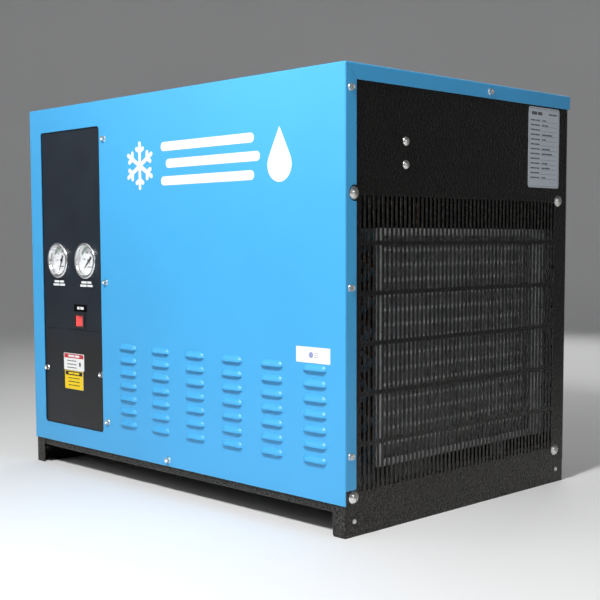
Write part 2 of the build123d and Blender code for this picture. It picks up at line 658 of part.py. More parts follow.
def condenser_frame():
    """End plates with flanges, joined by a channel above and below the fins, an upright channel
    at the rear end and two feet on the base pan."""
    (x0, x1), (z0, z1) = FRAME_X, FRAME_Z
    frame = coil_post()
    for y, inward, flange_end in ((COIL_Y[0], 1, COIL_Y[0] - 14.0), (COIL_Y[1], -1, POST_Y[0] + SHEET)):
        y0, y1 = sorted((y, y + inward * SHEET))
        end = block(x0, x1, y0, y1, z0, z1)
        end -= extrude(coil_plane(y + 5) * (Sketch() + coil_holes(TUBE_OD + CLEARANCE)), 10)
        f0, f1 = sorted((y, flange_end))
        frame += end + block(x1 - SHEET, x1, f0, f1, z0, z1)
    channel_flange = 10.0
    for z, inward in ((z0, 1), (z1, -1)):
        za, zb = sorted((z, z + inward * SHEET))
        frame += block(x0, x1, *COIL_Y, za, zb)
        zc, zd = sorted((z, z + inward * channel_flange))
        frame += block(x1 - SHEET, x1, *COIL_Y, zc, zd)
    foot_length, foot_width = 40.0, 37.0
    pan_top = PAN_BOTTOM + SHEET
    for y in (COIL_Y[0] + 3, COIL_Y[1] - 40):
        frame += block(x0, x0 + foot_length, y, y + foot_width, pan_top, pan_top + SHEET)
        frame += block(x0, x0 + SHEET, y, y + foot_width, pan_top, z0 + SHEET)
    return frame


SHROUD_X = FRAME_X[0] - GAP
RING_DEPTH = 30.0
RING_RADIUS = FAN_DIAMETER / 2 + 6.0


def fan_shroud():
    """Flat plate on the coil's inner side with a rolled ring around the fan."""
    plate = block(SHROUD_X - SHEET, SHROUD_X, *COIL_Y, COIL_Z[0] + FIN_INSET, COIL_Z[1] - FIN_INSET)
    ring = rod((SHROUD_X, COIL_MID_Y, COIL_MID_Z), TO_LEFT, 2 * (RING_RADIUS + SHEET), RING_DEPTH)
    opening = rod((SHROUD_X + 5, COIL_MID_Y, COIL_MID_Z), TO_LEFT, 2 * RING_RADIUS, RING_DEPTH + 10)
    return plate + ring - opening


FAN_X = SHROUD_X - 16.0
SHAFT = 8.0
SHAFT_DEPTH = 50.0       # length of shaft inside the motor
MOTOR_NOSE = FAN_X - 15.0
MOTOR_DIAMETER = 84.0
MOTOR_LENGTH = 66.0


def fan_rotor():
    """Five twisted blades on a pressed hub, modelled along +Z and turned to face the coil."""
    hub_radius, tip_radius = 30.0, FAN_DIAMETER / 2
    fan = Cylinder(hub_radius, 22.0)
    fan = fillet(fan.edges().group_by(Axis.Z)[-1], 4.0)
    root = Plane(origin=(hub_radius - 5, 0, 0), x_dir=(0, 1, 0), z_dir=(1, 0, 0))
    tip = Plane(origin=(tip_radius - 2, 0, 0), x_dir=(0, 1, 0), z_dir=(1, 0, 0))
    (root_twist, root_chord), (tip_twist, tip_chord) = (24, 40), (12, 104)
    blade = loft([root * Rot(0, 0, root_twist) * Rectangle(root_chord, 1.6),
                  tip * Rot(0, 0, tip_twist) * Rectangle(tip_chord, 1.6)])
    blade = blade & Cylinder(tip_radius, 60)
    for n in range(5):
        fan += Rot(0, 0, 72 * n) * blade
    fan -= Cylinder(SHAFT / 2, 60)
    turn = Plane(origin=(FAN_X, COIL_MID_Y, COIL_MID_Z), x_dir=(0, 1, 0), z_dir=TO_RIGHT)
    return turn.location * fan


def fan_motor():
    """Closed motor with a finned band and a shaft into the hub."""
    motor = rod((MOTOR_NOSE, COIL_MID_Y, COIL_MID_Z), TO_LEFT, MOTOR_DIAMETER, MOTOR_LENGTH)
    motor = fillet(motor.edges().filter_by(GeomType.CIRCLE), 6.0)
    groove_width, groove_depth, groove_pitch = 3.0, 2.0, 8.0
    for n in range(4):
        groove_x = MOTOR_NOSE - 20.0 - n * groove_pitch
        groove = rod((groove_x, COIL_MID_Y, COIL_MID_Z), TO_LEFT, MOTOR_DIAMETER + 6, groove_width)
        groove -= rod((groove_x + 1, COIL_MID_Y, COIL_MID_Z), TO_LEFT, MOTOR_DIAMETER - 2 * groove_depth, 6.0)
        motor -= groove
    bore_end = MOTOR_NOSE - SHAFT_DEPTH - 1.0
    return motor - rod((bore_end, COIL_MID_Y, COIL_MID_Z), TO_RIGHT, SHAFT + 2 * RUNNING, SHAFT_DEPTH + 5)


def fan_shaft():
    """Motor shaft, free to turn in the motor and pressed into the fan's hub."""
    start = MOTOR_NOSE - SHAFT_DEPTH
    return rod((start, COIL_MID_Y, COIL_MID_Z), TO_RIGHT, SHAFT, FAN_X + 10.0 - start)


def fan_guard():
    """Wire basket that carries the motor: rings on radial wires."""
    wire = 3.6
    stand_off = 12.0
    ring_x = SHROUD_X - RING_DEPTH - stand_off
    centre = Plane(origin=(ring_x, COIL_MID_Y, COIL_MID_Z), x_dir=(0, 1, 0), z_dir=TO_RIGHT)
    inner, outer = MOTOR_DIAMETER / 2 + 4.0, RING_RADIUS
    guard = Torus(inner, wire / 2)
    for radius in (70.0, 94.0, 118.0, outer):
        guard += Torus(radius, wire / 2)
    for n in range(8):
        spoke = Pos(inner, 0, 0) * Rot(0, 90, 0) * Cylinder(wire / 2, outer - inner, align=LOW)
        guard += Rot(0, 0, 45 * n) * spoke
    for n in range(4):
        foot = Pos(outer + 0.5, 0, 0) * Cylinder(wire / 2, stand_off, align=LOW)
        guard += Rot(0, 0, 90 * n) * foot
    guard += Cylinder(inner, 6.0) - Cylinder(MOTOR_DIAMETER / 2 + 0.15, 30)
    return centre.location * guard


# ---------------------------------------------------------------- refrigerant circuit

def compressor_feet():
    """Centres of the four mounting feet."""
    spread = 76.0
    x, y = COMPRESSOR
    return [(x + a * spread, y + b * spread) for a in (-1, 1) for b in (-1, 1)]


FOOT_Z = 48.0
SHELL_Z = (56.0, 288.0)
FOOT_THICKNESS = 4.0
DISCHARGE_STUB_Z = 230.0
SUCTION_STUB_Z = 220.0
STUB_REACH = 6.0
PROCESS_STUBS = (-18.0, 18.0)
GROMMET_RADIUS = 9.0
GROMMET_CAP = 6.0


def compressor_shell():
    """Welded hermetic shell on a pressed foot plate, with pipe stubs."""
    x, y = COMPRESSOR
    z0, z1 = SHELL_Z
    shell = Pos(x, y, z0) * Cylinder(COMPRESSOR_RADIUS, z1 - z0, align=LOW)
    shell = fillet(shell.edges().group_by(Axis.Z)[-1], 48.0)
    shell = fillet(shell.edges().group_by(Axis.Z)[0], 20.0)
    weld = Pos(x, y, 168.0) * Cylinder(COMPRESSOR_RADIUS + 4, 7.0)
    shell += fillet(weld.edges().filter_by(GeomType.CIRCLE), 2.5)
    wall = 3.5
    hollow = Pos(x, y, z0 + wall) * Cylinder(COMPRESSOR_RADIUS - wall, z1 - z0 - 2 * wall, align=LOW)
    hollow = fillet(hollow.edges().group_by(Axis.Z)[-1], 45.0)
    hollow = fillet(hollow.edges().group_by(Axis.Z)[0], 17.0)
    foot = Pos(x, y, FOOT_Z) * rounded_plate(186, 186, FOOT_THICKNESS, 20)
    skirt = Pos(x, y, FOOT_Z) * Cylinder(60.0, 24.0, align=LOW)
    shell += foot + skirt
    for fx, fy in compressor_feet():
        shell -= Pos(fx, fy, FOOT_Z) * Cylinder(GROMMET_RADIUS + 0.2, 20)
    inside = COMPRESSOR_RADIUS - 4.0
    stub = 4.0 + STUB_REACH
    shell += rod((x + inside, y, DISCHARGE_STUB_Z), TO_RIGHT, 14.0, stub)
    shell += rod((x - inside, y, SUCTION_STUB_Z), TO_LEFT, 18.0, stub)
    for offset in PROCESS_STUBS:
        shell += rod((x + offset, y, z1 - 6), UP, 8.0, 17.0)
    shell += rod((x, y - COMPRESSOR_RADIUS + 6, 210.0), TO_FRONT, 44.0, 9.0)
    return shell - hollow


def compressor_core():
    """The motor and pump inside the welded shell, as one stepped cylinder."""
    x, y = COMPRESSOR
    core = Pos(x, y, SHELL_Z[0] + 20.0) * Cylinder(58.0, 100.0, align=LOW)
    core += Pos(x, y, SHELL_Z[0] + 115.0) * Cylinder(46.0, 60.0, align=LOW)
    return core


def compressor_terminal_cover():
    """Moulded cap over the compressor's electrical pins."""
    x, y = COMPRESSOR
    face = y - COMPRESSOR_RADIUS - 3.0
    half_width, depth, wall = 32.0, 34.0, 2.0
    z0, z1 = 178.0, 242.0
    cap = block(x - half_width, x + half_width, face - depth, face - 0.2, z0, z1)
    cap = fillet(cap.edges().filter_by(Axis.Y), 6)
    cap = fillet(cap.edges().group_by(Axis.Y)[0], 3)
    inside = half_width - wall
    cap -= block(x - inside, x + inside, face - depth + wall, face + 5, z0 + wall, z1 - wall)
    return cap - rod((x - half_width - 8, face - 18, MOTOR_CABLE_Z), TO_RIGHT, CABLE_HOLE, 20)


def compressor_grommets():
    """Rubber feet through the foot plate."""
    top = FOOT_Z + FOOT_THICKNESS
    base = PAN_BOTTOM + SHEET
    grommets = []
    for x, y in compressor_feet():
        grommet = Pos(x, y, base) * Cylinder(14.0, FOOT_Z - base, align=LOW)
        grommet += Pos(x, y, base) * Cylinder(GROMMET_RADIUS, top - base + 2.0, align=LOW)
        grommet += Pos(x, y, top) * Cylinder(13.0, GROMMET_CAP, align=LOW)
        grommets.append(grommet - Pos(x, y, 0) * Cylinder(BOLT_SHANK / 2 + 0.5, 200))
    return Compound(grommets)


def compressor_bolts():
    """Shouldered bolts with hexagon heads that hold the grommets down."""
    top = FOOT_Z + FOOT_THICKNESS + GROMMET_CAP
    washer = 1.5
    bolt = Cylinder(11.0, washer, align=LOW) + Pos(0, 0, washer) * hexagon(13.0, 5.5)
    bolt += Cylinder(BOLT_SHANK / 2, top - PAN_BOTTOM + 6, align=HIGH)
    return Compound([Pos(x, y, top) * bolt for x, y in compressor_feet()])


DISCHARGE_Y = 232.0
RISER_X = COMPRESSOR[0] + COMPRESSOR_RADIUS + 34.1
BYPASS = (78.0, 226.0, 300.0)
DRIER_X = (150.0, 262.0)
DRIER_Y, DRIER_Z = 222.0, coil_rows(0)[0]
JOINT = 0.1              # gap where a line meets the part it is brazed or screwed to


def condenser_lines():
    """Hot gas from the compressor to the top of the inner coil column, and liquid from the
    bottom of that column to the filter drier."""
    x, y = COMPRESSOR
    start = x + COMPRESSOR_RADIUS + STUB_REACH + JOINT
    coil_x, coil_y = COIL_COLUMNS[0], COIL_Y[1] + TUBE_REACH + JOINT
    top = coil_rows(0)[COIL_ROWS - 2]
    discharge = [(start, y, DISCHARGE_STUB_Z), (RISER_X, y, DISCHARGE_STUB_Z),
                 (RISER_X, DISCHARGE_Y, DISCHARGE_STUB_Z), (RISER_X, DISCHARGE_Y, top),
                 (coil_x, DISCHARGE_Y, top), (coil_x, coil_y, top)]
    liquid = [(coil_x, coil_y, DRIER_Z), (coil_x, DRIER_Y, DRIER_Z), (DRIER_X[1] + JOINT, DRIER_Y, DRIER_Z)]
    bore = TUBE_OD - 2 * TUBE_WALL
    return [tube(discharge, TUBE_OD, bore, 11), tube(liquid, TUBE_OD, bore, 6.5)]


def filter_drier():
    """Spun copper drier with necked ends."""
    length = DRIER_X[1] - DRIER_X[0]
    neck = 14.0
    body = Pos(0, 0, neck) * Cylinder(21.0, length - 2 * neck, align=LOW)
    body = fillet(body.edges().filter_by(GeomType.CIRCLE), 12.0)
    body += Cylinder(6.5, length, align=LOW)
    return place(body, (DRIER_X[0], DRIER_Y, DRIER_Z), TO_RIGHT)


HX_X = (-140.0, 290.0)
HX_Y = (-215.0, -75.0)
HX_Z = (430.0, 575.0)
HX_MID_Y = sum(HX_Y) / 2


def heat_exchanger():
    """Insulated air-to-air and air-to-refrigerant exchanger."""
    hx = block(*HX_X, *HX_Y, *HX_Z)
    return fillet(hx.edges(), 16.0)


def heat_exchanger_bracket():
    """Folded bracket from the exchanger's end to the right side panel."""
    wall = SIDE - SHEET - GAP
    y0, y1 = -168.0, -108.0
    thick = 2.0
    low, shelf, high = 452.0, 468.0, 552.0
    start = HX_X[1] + GAP
    bracket = block(start, start + thick, y0, y1, low, high)
    bracket += block(start, wall, y0, y1, shelf, shelf + thick)
    bracket += block(wall - thick, wall, y0, y1, shelf, high - 20.0)
    return drill(bracket, BRACKET_BOLTS, BRACKET_SHANK + CLEARANCE, 12)


ACCUMULATOR_PIPES = (-18.0, 12.0)    # outlet and inlet, from the can's axis along X
ACCUMULATOR_STUB_TOP = 230.0
SUCTION_OD = 12.7
SUCTION_ID = 11.1


def accumulator():
    """Suction accumulator, a small upright vessel with a bracketed foot."""
    x, y = ACCUMULATOR
    bottom, height, wall = 60.0, 165.0, 3.0
    can = Pos(x, y, bottom) * Cylinder(ACCUMULATOR_RADIUS, height, align=LOW)
    can = fillet(can.edges().filter_by(GeomType.CIRCLE), 14.0)
    can += Pos(x, y, PAN_BOTTOM + SHEET) * Cylinder(18.0, 40.0, align=LOW)
    can += Pos(x, y, PAN_BOTTOM + SHEET) * rounded_plate(70, 60, 2.0, 6)
    for offset in ACCUMULATOR_PIPES:
        can += Pos(x + offset, y, ACCUMULATOR_STUB_TOP) * Cylinder(7.5, 15, align=HIGH)
    hollow = Pos(x, y, bottom + wall) * Cylinder(ACCUMULATOR_RADIUS - wall, height - 2 * wall, align=LOW)
    return can - fillet(hollow.edges().filter_by(GeomType.CIRCLE), 11.0)


def suction_line():
    """Cold gas from the exchanger to the accumulator, and on to the compressor."""
    x, y = ACCUMULATOR
    outlet_x, inlet_x = (x + offset for offset in ACCUMULATOR_PIPES)
    top = ACCUMULATOR_STUB_TOP + JOINT
    cross_z, loop_z = 330.0, 262.0
    down = [(0, HX_MID_Y, HX_Z[0] - JOINT), (0, HX_MID_Y, cross_z), (0, y, cross_z), (inlet_x, y, cross_z),
            (inlet_x, y, top)]
    cx, cy = COMPRESSOR
    stub = cx - COMPRESSOR_RADIUS - STUB_REACH - JOINT
    back = [(outlet_x, y, top), (outlet_x, y, loop_z), (outlet_x, cy, loop_z), (outlet_x, cy, SUCTION_STUB_Z),
            (stub, cy, SUCTION_STUB_Z)]
    return Compound([tube(down, SUCTION_OD, SUCTION_ID, 14), tube(back, SUCTION_OD, SUCTION_ID, 13)])


BYPASS_INLET = 26.0      # reach of the valve's side and lower pipe stubs
BYPASS_OUTLET = 33.0
HOT_GAS_OD = 8.0


def hot_gas_bypass_valve():
    """Brass valve body with a cap, fed from the discharge line."""
    x, y, z = BYPASS
    half, nut = 22.0, 14.0
    valve = Pos(x, y, z) * Cylinder(13.0, 2 * half)
    valve += Pos(x, y, z + half) * hexagon(22.0, nut)
    valve += Pos(x, y, z + half + nut) * Cylinder(15.0, 16.0, align=LOW)
    valve += rod((x, y, z), TO_RIGHT, 12.0, BYPASS_INLET)
    valve += rod((x, y, z), DOWN, 12.0, BYPASS_OUTLET)
    return valve


def hot_gas_lines():
    """From the discharge line to the bypass valve, and from the valve to the accumulator."""
    x, y, z = BYPASS
    feed = [(x + BYPASS_INLET + JOINT, y, z), (x + 40, y, z), (RISER_X - TUBE_OD / 2 - 0.5, DISCHARGE_Y, z)]
    can_x, can_y = ACCUMULATOR
    can_side = can_x + ACCUMULATOR_RADIUS + JOINT
    drop_x = can_side + 20.0
    high, low = 250.0, 150.0
    drop = [(x, y, z - BYPASS_OUTLET - JOINT), (x, y, high), (drop_x, y, high), (drop_x, can_y, high),
            (drop_x, can_y, low), (can_side, can_y, low)]
    return [tube(feed, HOT_GAS_OD, 0, 4), tube(drop, HOT_GAS_OD, 0, 6)]


def refrigerant_lines():
    """Discharge, liquid and hot gas tubes."""
    return Compound(condenser_lines() + hot_gas_lines())


def capillaries():
    """The expansion tube from the drier to the exchanger, and one thin line from each gauge's
    stem to a process stub on the compressor."""
    x = DRIER_X[0] - 42.0
    riser_y, inlet_z = DRIER_Y - 16.0, HX_Z[0] + 20.0
    expansion = [(DRIER_X[0] - JOINT, DRIER_Y, DRIER_Z), (x, DRIER_Y, DRIER_Z), (x, riser_y, DRIER_Z),
                 (x, riser_y, inlet_z), (x, HX_Y[1] + JOINT, inlet_z)]
    lines = [tube(expansion, 3.2, 0, 7)]
    stem = PLATE_FACE + CASE_DEPTH + CASE_STEM + JOINT
    for gauge_x, offset, level in zip(GAUGE_X, PROCESS_STUBS, (304.0, 312.0)):
        x = COMPRESSOR[0] + offset
        turn = stem + 22.0 + 0.3 * offset
        points = [(gauge_x, stem, GAUGE_Z), (gauge_x, turn, GAUGE_Z), (gauge_x, turn, level),
                  (x, turn, level), (x, COMPRESSOR[1], level), (x, COMPRESSOR[1], SHELL_Z[1] + 11 + JOINT)]
        lines.append(tube(points, 2.4, 0, 4.5))
    return Compound(lines)


# ---------------------------------------------------------------- compressed-air circuit

COUPLING_DIAMETER = 44.0
COUPLING_Y = (248.0, 294.0)
PIPE_STOP = 262.0        # shoulder inside the couplings, and the start of their threaded bores


def air_port_couplings():
    """Two forged half couplings that stand out of the rear panel, bored for taper pipe thread."""
    start, end = COUPLING_Y
    couplings = []
    for x in (INLET_X, OUTLET_X):
        body = rod((x, start, PORT_Z), TO_BACK, COUPLING_DIAMETER, end - start)
        body = chamfer(body.edges().group_by(Axis.Y)[-1], 2.0)
        body -= rod((x, start - 5, PORT_Z), TO_BACK, PIPE_OD + 0.1, PIPE_STOP - start + 5)
        body -= rod((x, start, PORT_Z), TO_BACK, 2 * PORT_BORE, 60.0)
        couplings.append(body)
    return Compound(couplings)


def air_pipes():
    """Steel pipes: inlet and outlet couplings to the exchanger, and the exchanger to the
    separator and back."""
    end = PIPE_STOP - JOINT
    inlet = [(INLET_X, HX_Y[1] + JOINT, PORT_Z), (INLET_X, end, PORT_Z)]
    outlet = [(HX_X[0] - JOINT, HX_MID_Y, PORT_Z), (OUTLET_X, HX_MID_Y, PORT_Z), (OUTLET_X, end, PORT_Z)]
    x, y = SEPARATOR
    in_z, out_z = 392.0, 515.0
    to_separator = [(x, HX_MID_Y, HX_Z[0] - JOINT), (x, HX_MID_Y, in_z),
                    (x, y - SEPARATOR_RADIUS - JOINT, in_z)]
    from_separator = [(x, y, SEPARATOR_Z[1] + JOINT), (x, y, out_z), (x, HX_Y[1] + JOINT, out_z)]
    small = (26.7, 21.0)
    return Compound([tube(inlet, PIPE_OD, PIPE_ID), tube(outlet, PIPE_OD, PIPE_ID, 40),
                     tube(to_separator, *small, 30), tube(from_separator, *small, 30)])


SEPARATOR_RADIUS = 45.0
SEPARATOR_Z = (250.0, 480.0)


def separator():
    """Upright moisture separator with domed ends and a drain boss."""
    x, y = SEPARATOR
    (z0, z1), wall, dome = SEPARATOR_Z, 4.0, 24.0
    vessel = Pos(x, y, z0) * Cylinder(SEPARATOR_RADIUS, z1 - z0, align=LOW)
    vessel = fillet(vessel.edges().group_by(Axis.Z)[0], dome)
    vessel = fillet(vessel.edges().group_by(Axis.Z)[-1], dome)
    hollow = Pos(x, y, z0 + wall) * Cylinder(SEPARATOR_RADIUS - wall, z1 - z0 - 2 * wall, align=LOW)
    hollow = fillet(hollow.edges().filter_by(GeomType.CIRCLE), dome - wall)
    return vessel + Pos(x, y, z0 + 1) * Cylinder(9.0, 14.0, align=HIGH) - hollow


BALL_VALVE_Z = (192.0, 236.9)
LEVER_SPINDLE = 5.0
STEM_REACH = 19.0


def drain_ball_valve():
    """Brass isolating valve under the separator, its stem facing the rear."""
    x, y = SEPARATOR
    z0, z1 = BALL_VALVE_Z
    middle = (z0 + z1) / 2
    valve = Pos(x, y, z0) * hexagon(20.0, z1 - z0)
    valve += Pos(x, y, middle) * Sphere(14.0)
    valve += rod((x, y, middle), TO_BACK, 11.0, STEM_REACH)
    return valve - rod((x, y + 10, middle), TO_BACK, LEVER_SPINDLE + 2 * RUNNING, 20)


def drain_lever():
    """Flat steel lever on the ball valve's stem. It lies along the pipe when the valve is open."""
    x, y = SEPARATOR
    z = sum(BALL_VALVE_Z) / 2
    thick, near = 2.0, y + STEM_REACH + GAP
    arm = Pos(0, -22) * SlotOverall(62, 12, rotation=90)
    lever = Plane(origin=(x, near, z), x_dir=(1, 0, 0), z_dir=TO_FRONT).location * extrude(arm, -thick)
    lever += rod((x, y + 11, z), TO_BACK, LEVER_SPINDLE, 10)
    return lever + rod((x, near + thick - GAP, z), TO_BACK, 9.0, 4.0)


DRAIN_BODY_Y = (188.0, 222.0)
DRAIN_BODY_HALF = (19.0, 14.0)


def condensate_line():
    """From the ball valve to the timed drain valve."""
    x, y = SEPARATOR
    turn_x, turn_y = x - 60.0, 202.0
    end_x = DRAIN_VALVE_X + DRAIN_BODY_HALF[0] + JOINT
    points = [(x, y, BALL_VALVE_Z[0] - JOINT), (x, y, DRAIN_BODY_Z), (turn_x, y, DRAIN_BODY_Z),
              (turn_x, turn_y, DRAIN_BODY_Z), (end_x, turn_y, DRAIN_BODY_Z)]
    return tube(points, 8.0, 6.0, 14)


TIMER_Y = (184.0, 247.0)
TIMER_Z = (160.0, 216.0)
KNOB_Z = 176.0
KNOB_X = (DRAIN_VALVE_X - 14.0, DRAIN_VALVE_X + 14.0)
BUTTON_SITE = (DRAIN_VALVE_X, 202.0)
KNOB_SPINDLE = 6.0
BUTTON_DIAMETER = 9.4


def drain_valve():
    """Timed solenoid drain: brass body below, moulded timer housing above."""
    x = DRAIN_VALVE_X
    y0, y1 = TIMER_Y
    half_x, half_z = DRAIN_BODY_HALF
    body_top = DRAIN_BODY_Z + half_z
    body = block(x - half_x, x + half_x, *DRAIN_BODY_Y, DRAIN_BODY_Z - half_z, body_top)
    body += Pos(x, sum(DRAIN_BODY_Y) / 2, body_top) * Cylinder(12, TIMER_Z[0] - body_top, align=LOW)
    half_timer = (TIMER_Z[1] - TIMER_Z[0]) / 2
    housing = block(x - half_timer, x + half_timer, y0, y1, *TIMER_Z)
    housing = fillet(housing.edges().filter_by(Axis.Y), 4)
    housing = fillet(housing.edges().group_by(Axis.Y)[-1], 1.5)
    for knob_x in KNOB_X:
        housing -= rod((knob_x, y1 - 8, KNOB_Z), TO_BACK, KNOB_SPINDLE + 2 * RUNNING, 20)
    housing -= rod((BUTTON_SITE[0], y1 - 8, BUTTON_SITE[1]), TO_BACK, BUTTON_DIAMETER + 2 * RUNNING, 20)
    return body + housing


def drain_knob(x):
    """Small fluted dial knob with a pointer slot, on a short spindle."""
    y = TIMER_Y[1]
    diameter, lift, height = 17.0, 0.3, 4.2
    knob = rod((x, y + lift, KNOB_Z), TO_BACK, diameter, height)
    flutes = 12
    flute_circle = diameter / 2 + 0.4
    for n in range(flutes):
        angle = 2 * math.pi * (n + 0.5) / flutes
        flute = (x + flute_circle * math.cos(angle), y, KNOB_Z + flute_circle * math.sin(angle))
        knob -= rod(flute, TO_BACK, 2.2, 8)
    slot_floor = y + lift + height - 0.8
    knob -= block(x - 0.6, x + 0.6, slot_floor, slot_floor + 3, KNOB_Z + 1, KNOB_Z + 8)
    return knob + rod((x, y - 7, KNOB_Z), TO_BACK, KNOB_SPINDLE, 8)


def drain_on_knob():
    return drain_knob(KNOB_X[0])


def drain_off_knob():
    return drain_knob(KNOB_X[1])


def drain_test_button():
    """Push button above the two knobs."""
    x, z = BUTTON_SITE
    button = rod((x, TIMER_Y[1] - 5.5, z), TO_BACK, BUTTON_DIAMETER, 8.5)
    return fillet(button.edges().group_by(Axis.Y)[-1], 0.8)


OUTLET_THREAD = 15.6
HOSE_BORE = 5.6


def drain_outlet():
    """Brass bulkhead fitting for the condensate hose, clamped through the rear panel."""
    x, z = DRAIN_VALVE_X, DRAIN_BODY_Z
    start = DRAIN_BODY_Y[1] + JOINT
    fitting = rod((x, start, z), TO_BACK, OUTLET_THREAD, 50.0)
    fitting += place(hexagon(23.0, 6.0), (x, BACK_FACE, z), TO_BACK)
    return fitting - rod((x, 240.0, z), TO_BACK, 2 * HOSE_BORE, 60)


GLAND_THREAD = 19.8
GLAND_BORE = 5.6


def cable_gland():
    """Nylon gland for the mains cable: body with a hexagon and a domed nut."""
    x, z = GLAND
    collar = 6.0
    gland = rod((x, PANEL_BACK - 14, z), TO_BACK, GLAND_THREAD, 18.0)
    gland += place(hexagon(26.0, collar), (x, BACK_FACE, z), TO_BACK)
    nut = rod((x, BACK_FACE + collar, z), TO_BACK, 24.0, 16.0)
    gland += fillet(nut.edges().group_by(Axis.Y)[-1], 4.0)
    gland += place(hexagon(25.0, 5.0), (x, PANEL_BACK + GAP, z), TO_FRONT)
    return gland - rod((x, PANEL_BACK - 30, z), TO_BACK, 2 * GLAND_BORE, 80)


def wiring_harness():
    """Sheathed cables from the electrical box to the compressor, the fan motor and the drain."""
    cx, cy = COMPRESSOR
    inside_box = BOX_Y[1] - 12.0
    cap_y = cy - COMPRESSOR_RADIUS - 21.0
    (drain_x, drain_z), (power_x, power_z) = BOX_CABLE_HOLES
    rise_y, turn_x, run_z = -60.0, -60.0, MOTOR_CABLE_Z
    to_compressor = [(power_x, inside_box, power_z), (power_x, rise_y, power_z), (power_x, rise_y, run_z),
                     (turn_x, rise_y, run_z), (turn_x, cap_y, run_z), (cx - 24, cap_y, run_z)]
    motor_end, motor_y = MOTOR_NOSE - MOTOR_LENGTH - JOINT, COIL_MID_Y - 20.0
    fan_turn, motor_z = 110.0, 230.0
    to_fan = [(BOX_X[1] - 12, *FAN_CABLE_EXIT), (fan_turn, *FAN_CABLE_EXIT), (fan_turn, motor_y, motor_z),
              (motor_end, motor_y, motor_z)]
    side_x, timer_z = -330.0, sum(TIMER_Z) / 2
    to_drain = [(drain_x, inside_box, drain_z), (drain_x, -100, drain_z), (side_x, -100, timer_z),
                (side_x, 150, timer_z), (DRAIN_VALVE_X, 150, timer_z),
                (DRAIN_VALVE_X, TIMER_Y[0] - JOINT, timer_z)]
    return Compound([tube(route, CABLE_OD, 0, 12) for route in (to_compressor, to_fan, to_drain)])


# ---------------------------------------------------------------- fastener nodes

def cover_screws():
    return fastener_group(hex_washer_screw(), COVER_SCREWS + BOX_COVER_SCREWS + BACK_SCREWS)


def side_panel_bolts():
    return fastener_group(truss_bolt(8.8, 5.2, BOLT_SHANK, 10.0), SIDE_BOLTS)


def bracket_bolts():
    return fastener_group(truss_bolt(6.2, 4.0, BRACKET_SHANK, 9.0), BRACKET_BOLTS)


def leg_rivets():
    return fastener_group(rivet(), LEG_RIVETS)


NODES = [
    front_top_cover, right_side_panel, left_side_panel, base_pan, back_panel,
    control_panel, electrical_box_cover, electrical_box, contactor, run_capacitor, terminal_block,
    rocker_housing, rocker_button,
    gauge_cases, gauge_bezels, gauge_dials, gauge_lenses, suction_pointer, discharge_pointer,
    name_tags, stickers, nameplate,
    cover_screws, side_panel_bolts, bracket_bolts, leg_rivets,
    condenser_fins, condenser_tubes, condenser_frame,
    fan_shroud, fan_rotor, fan_shaft, fan_motor, fan_guard,
    compressor_shell, compressor_core, compressor_terminal_cover, compressor_grommets, compressor_bolts,
    refrigerant_lines, filter_drier, capillaries, accumulator, suction_line,
    hot_gas_bypass_valve,
    heat_exchanger, heat_exchanger_bracket, separator,
    air_pipes, air_port_couplings,
    drain_ball_valve, drain_lever, condensate_line, drain_valve,
    drain_on_knob, drain_off_knob, drain_test_button, drain_outlet, cable_gland, wiring_harness,
]

os.makedirs("parts", exist_ok=True)
for node in NODES:
    export_step(node(), f"parts/{node.__name__}.step")
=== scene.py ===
import json
import math

import bmesh
import bpy
from mathutils import Matrix, Vector


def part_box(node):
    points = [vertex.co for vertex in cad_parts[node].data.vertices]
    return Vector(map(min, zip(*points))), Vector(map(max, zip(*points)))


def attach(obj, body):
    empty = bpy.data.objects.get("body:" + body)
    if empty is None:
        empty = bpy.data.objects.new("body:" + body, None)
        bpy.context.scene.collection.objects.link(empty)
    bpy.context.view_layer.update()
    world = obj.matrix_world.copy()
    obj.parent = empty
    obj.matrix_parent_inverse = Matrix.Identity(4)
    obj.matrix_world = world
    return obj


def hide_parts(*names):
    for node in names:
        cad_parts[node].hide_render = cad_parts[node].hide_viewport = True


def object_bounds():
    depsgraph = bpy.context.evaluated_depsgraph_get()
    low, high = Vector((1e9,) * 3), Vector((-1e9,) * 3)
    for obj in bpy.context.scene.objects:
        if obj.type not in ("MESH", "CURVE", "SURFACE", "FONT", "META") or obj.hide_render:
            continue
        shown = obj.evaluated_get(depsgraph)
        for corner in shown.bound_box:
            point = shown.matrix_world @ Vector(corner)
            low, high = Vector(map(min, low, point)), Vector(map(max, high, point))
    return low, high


# Looks for the refrigerated air dryer. Metres, +Z up, the front faces -Y, the grille side faces +X.

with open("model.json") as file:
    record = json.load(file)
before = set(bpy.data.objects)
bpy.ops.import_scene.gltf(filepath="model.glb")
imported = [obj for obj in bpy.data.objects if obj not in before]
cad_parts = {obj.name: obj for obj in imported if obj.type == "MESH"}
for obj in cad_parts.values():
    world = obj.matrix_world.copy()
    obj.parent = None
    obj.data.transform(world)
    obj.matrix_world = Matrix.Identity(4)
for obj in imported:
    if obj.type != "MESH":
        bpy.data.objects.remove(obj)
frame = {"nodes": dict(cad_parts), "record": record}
cad_low, cad_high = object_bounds()
NODES = frame["nodes"]
CABINET = "cabinet"

RIGHT = Vector((1, 0, 0))
FRONT, BACK = Vector((0, -1, 0)), Vector((0, 1, 0))
UP = Vector((0, 0, 1))

# Surfaces that carry prints
COVER_FACE = -0.258                         # front of the blue cover
PLATE_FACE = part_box("control_panel")[0].y
VINYL = 0.0003                              # thickness of a sticker
SKIM = 0.00002                              # air under a print, so that it doesn't flicker
INK = 0.00006                               # top of a print
OVERLAP_STEP = 0.00002                      # height between strokes that cross

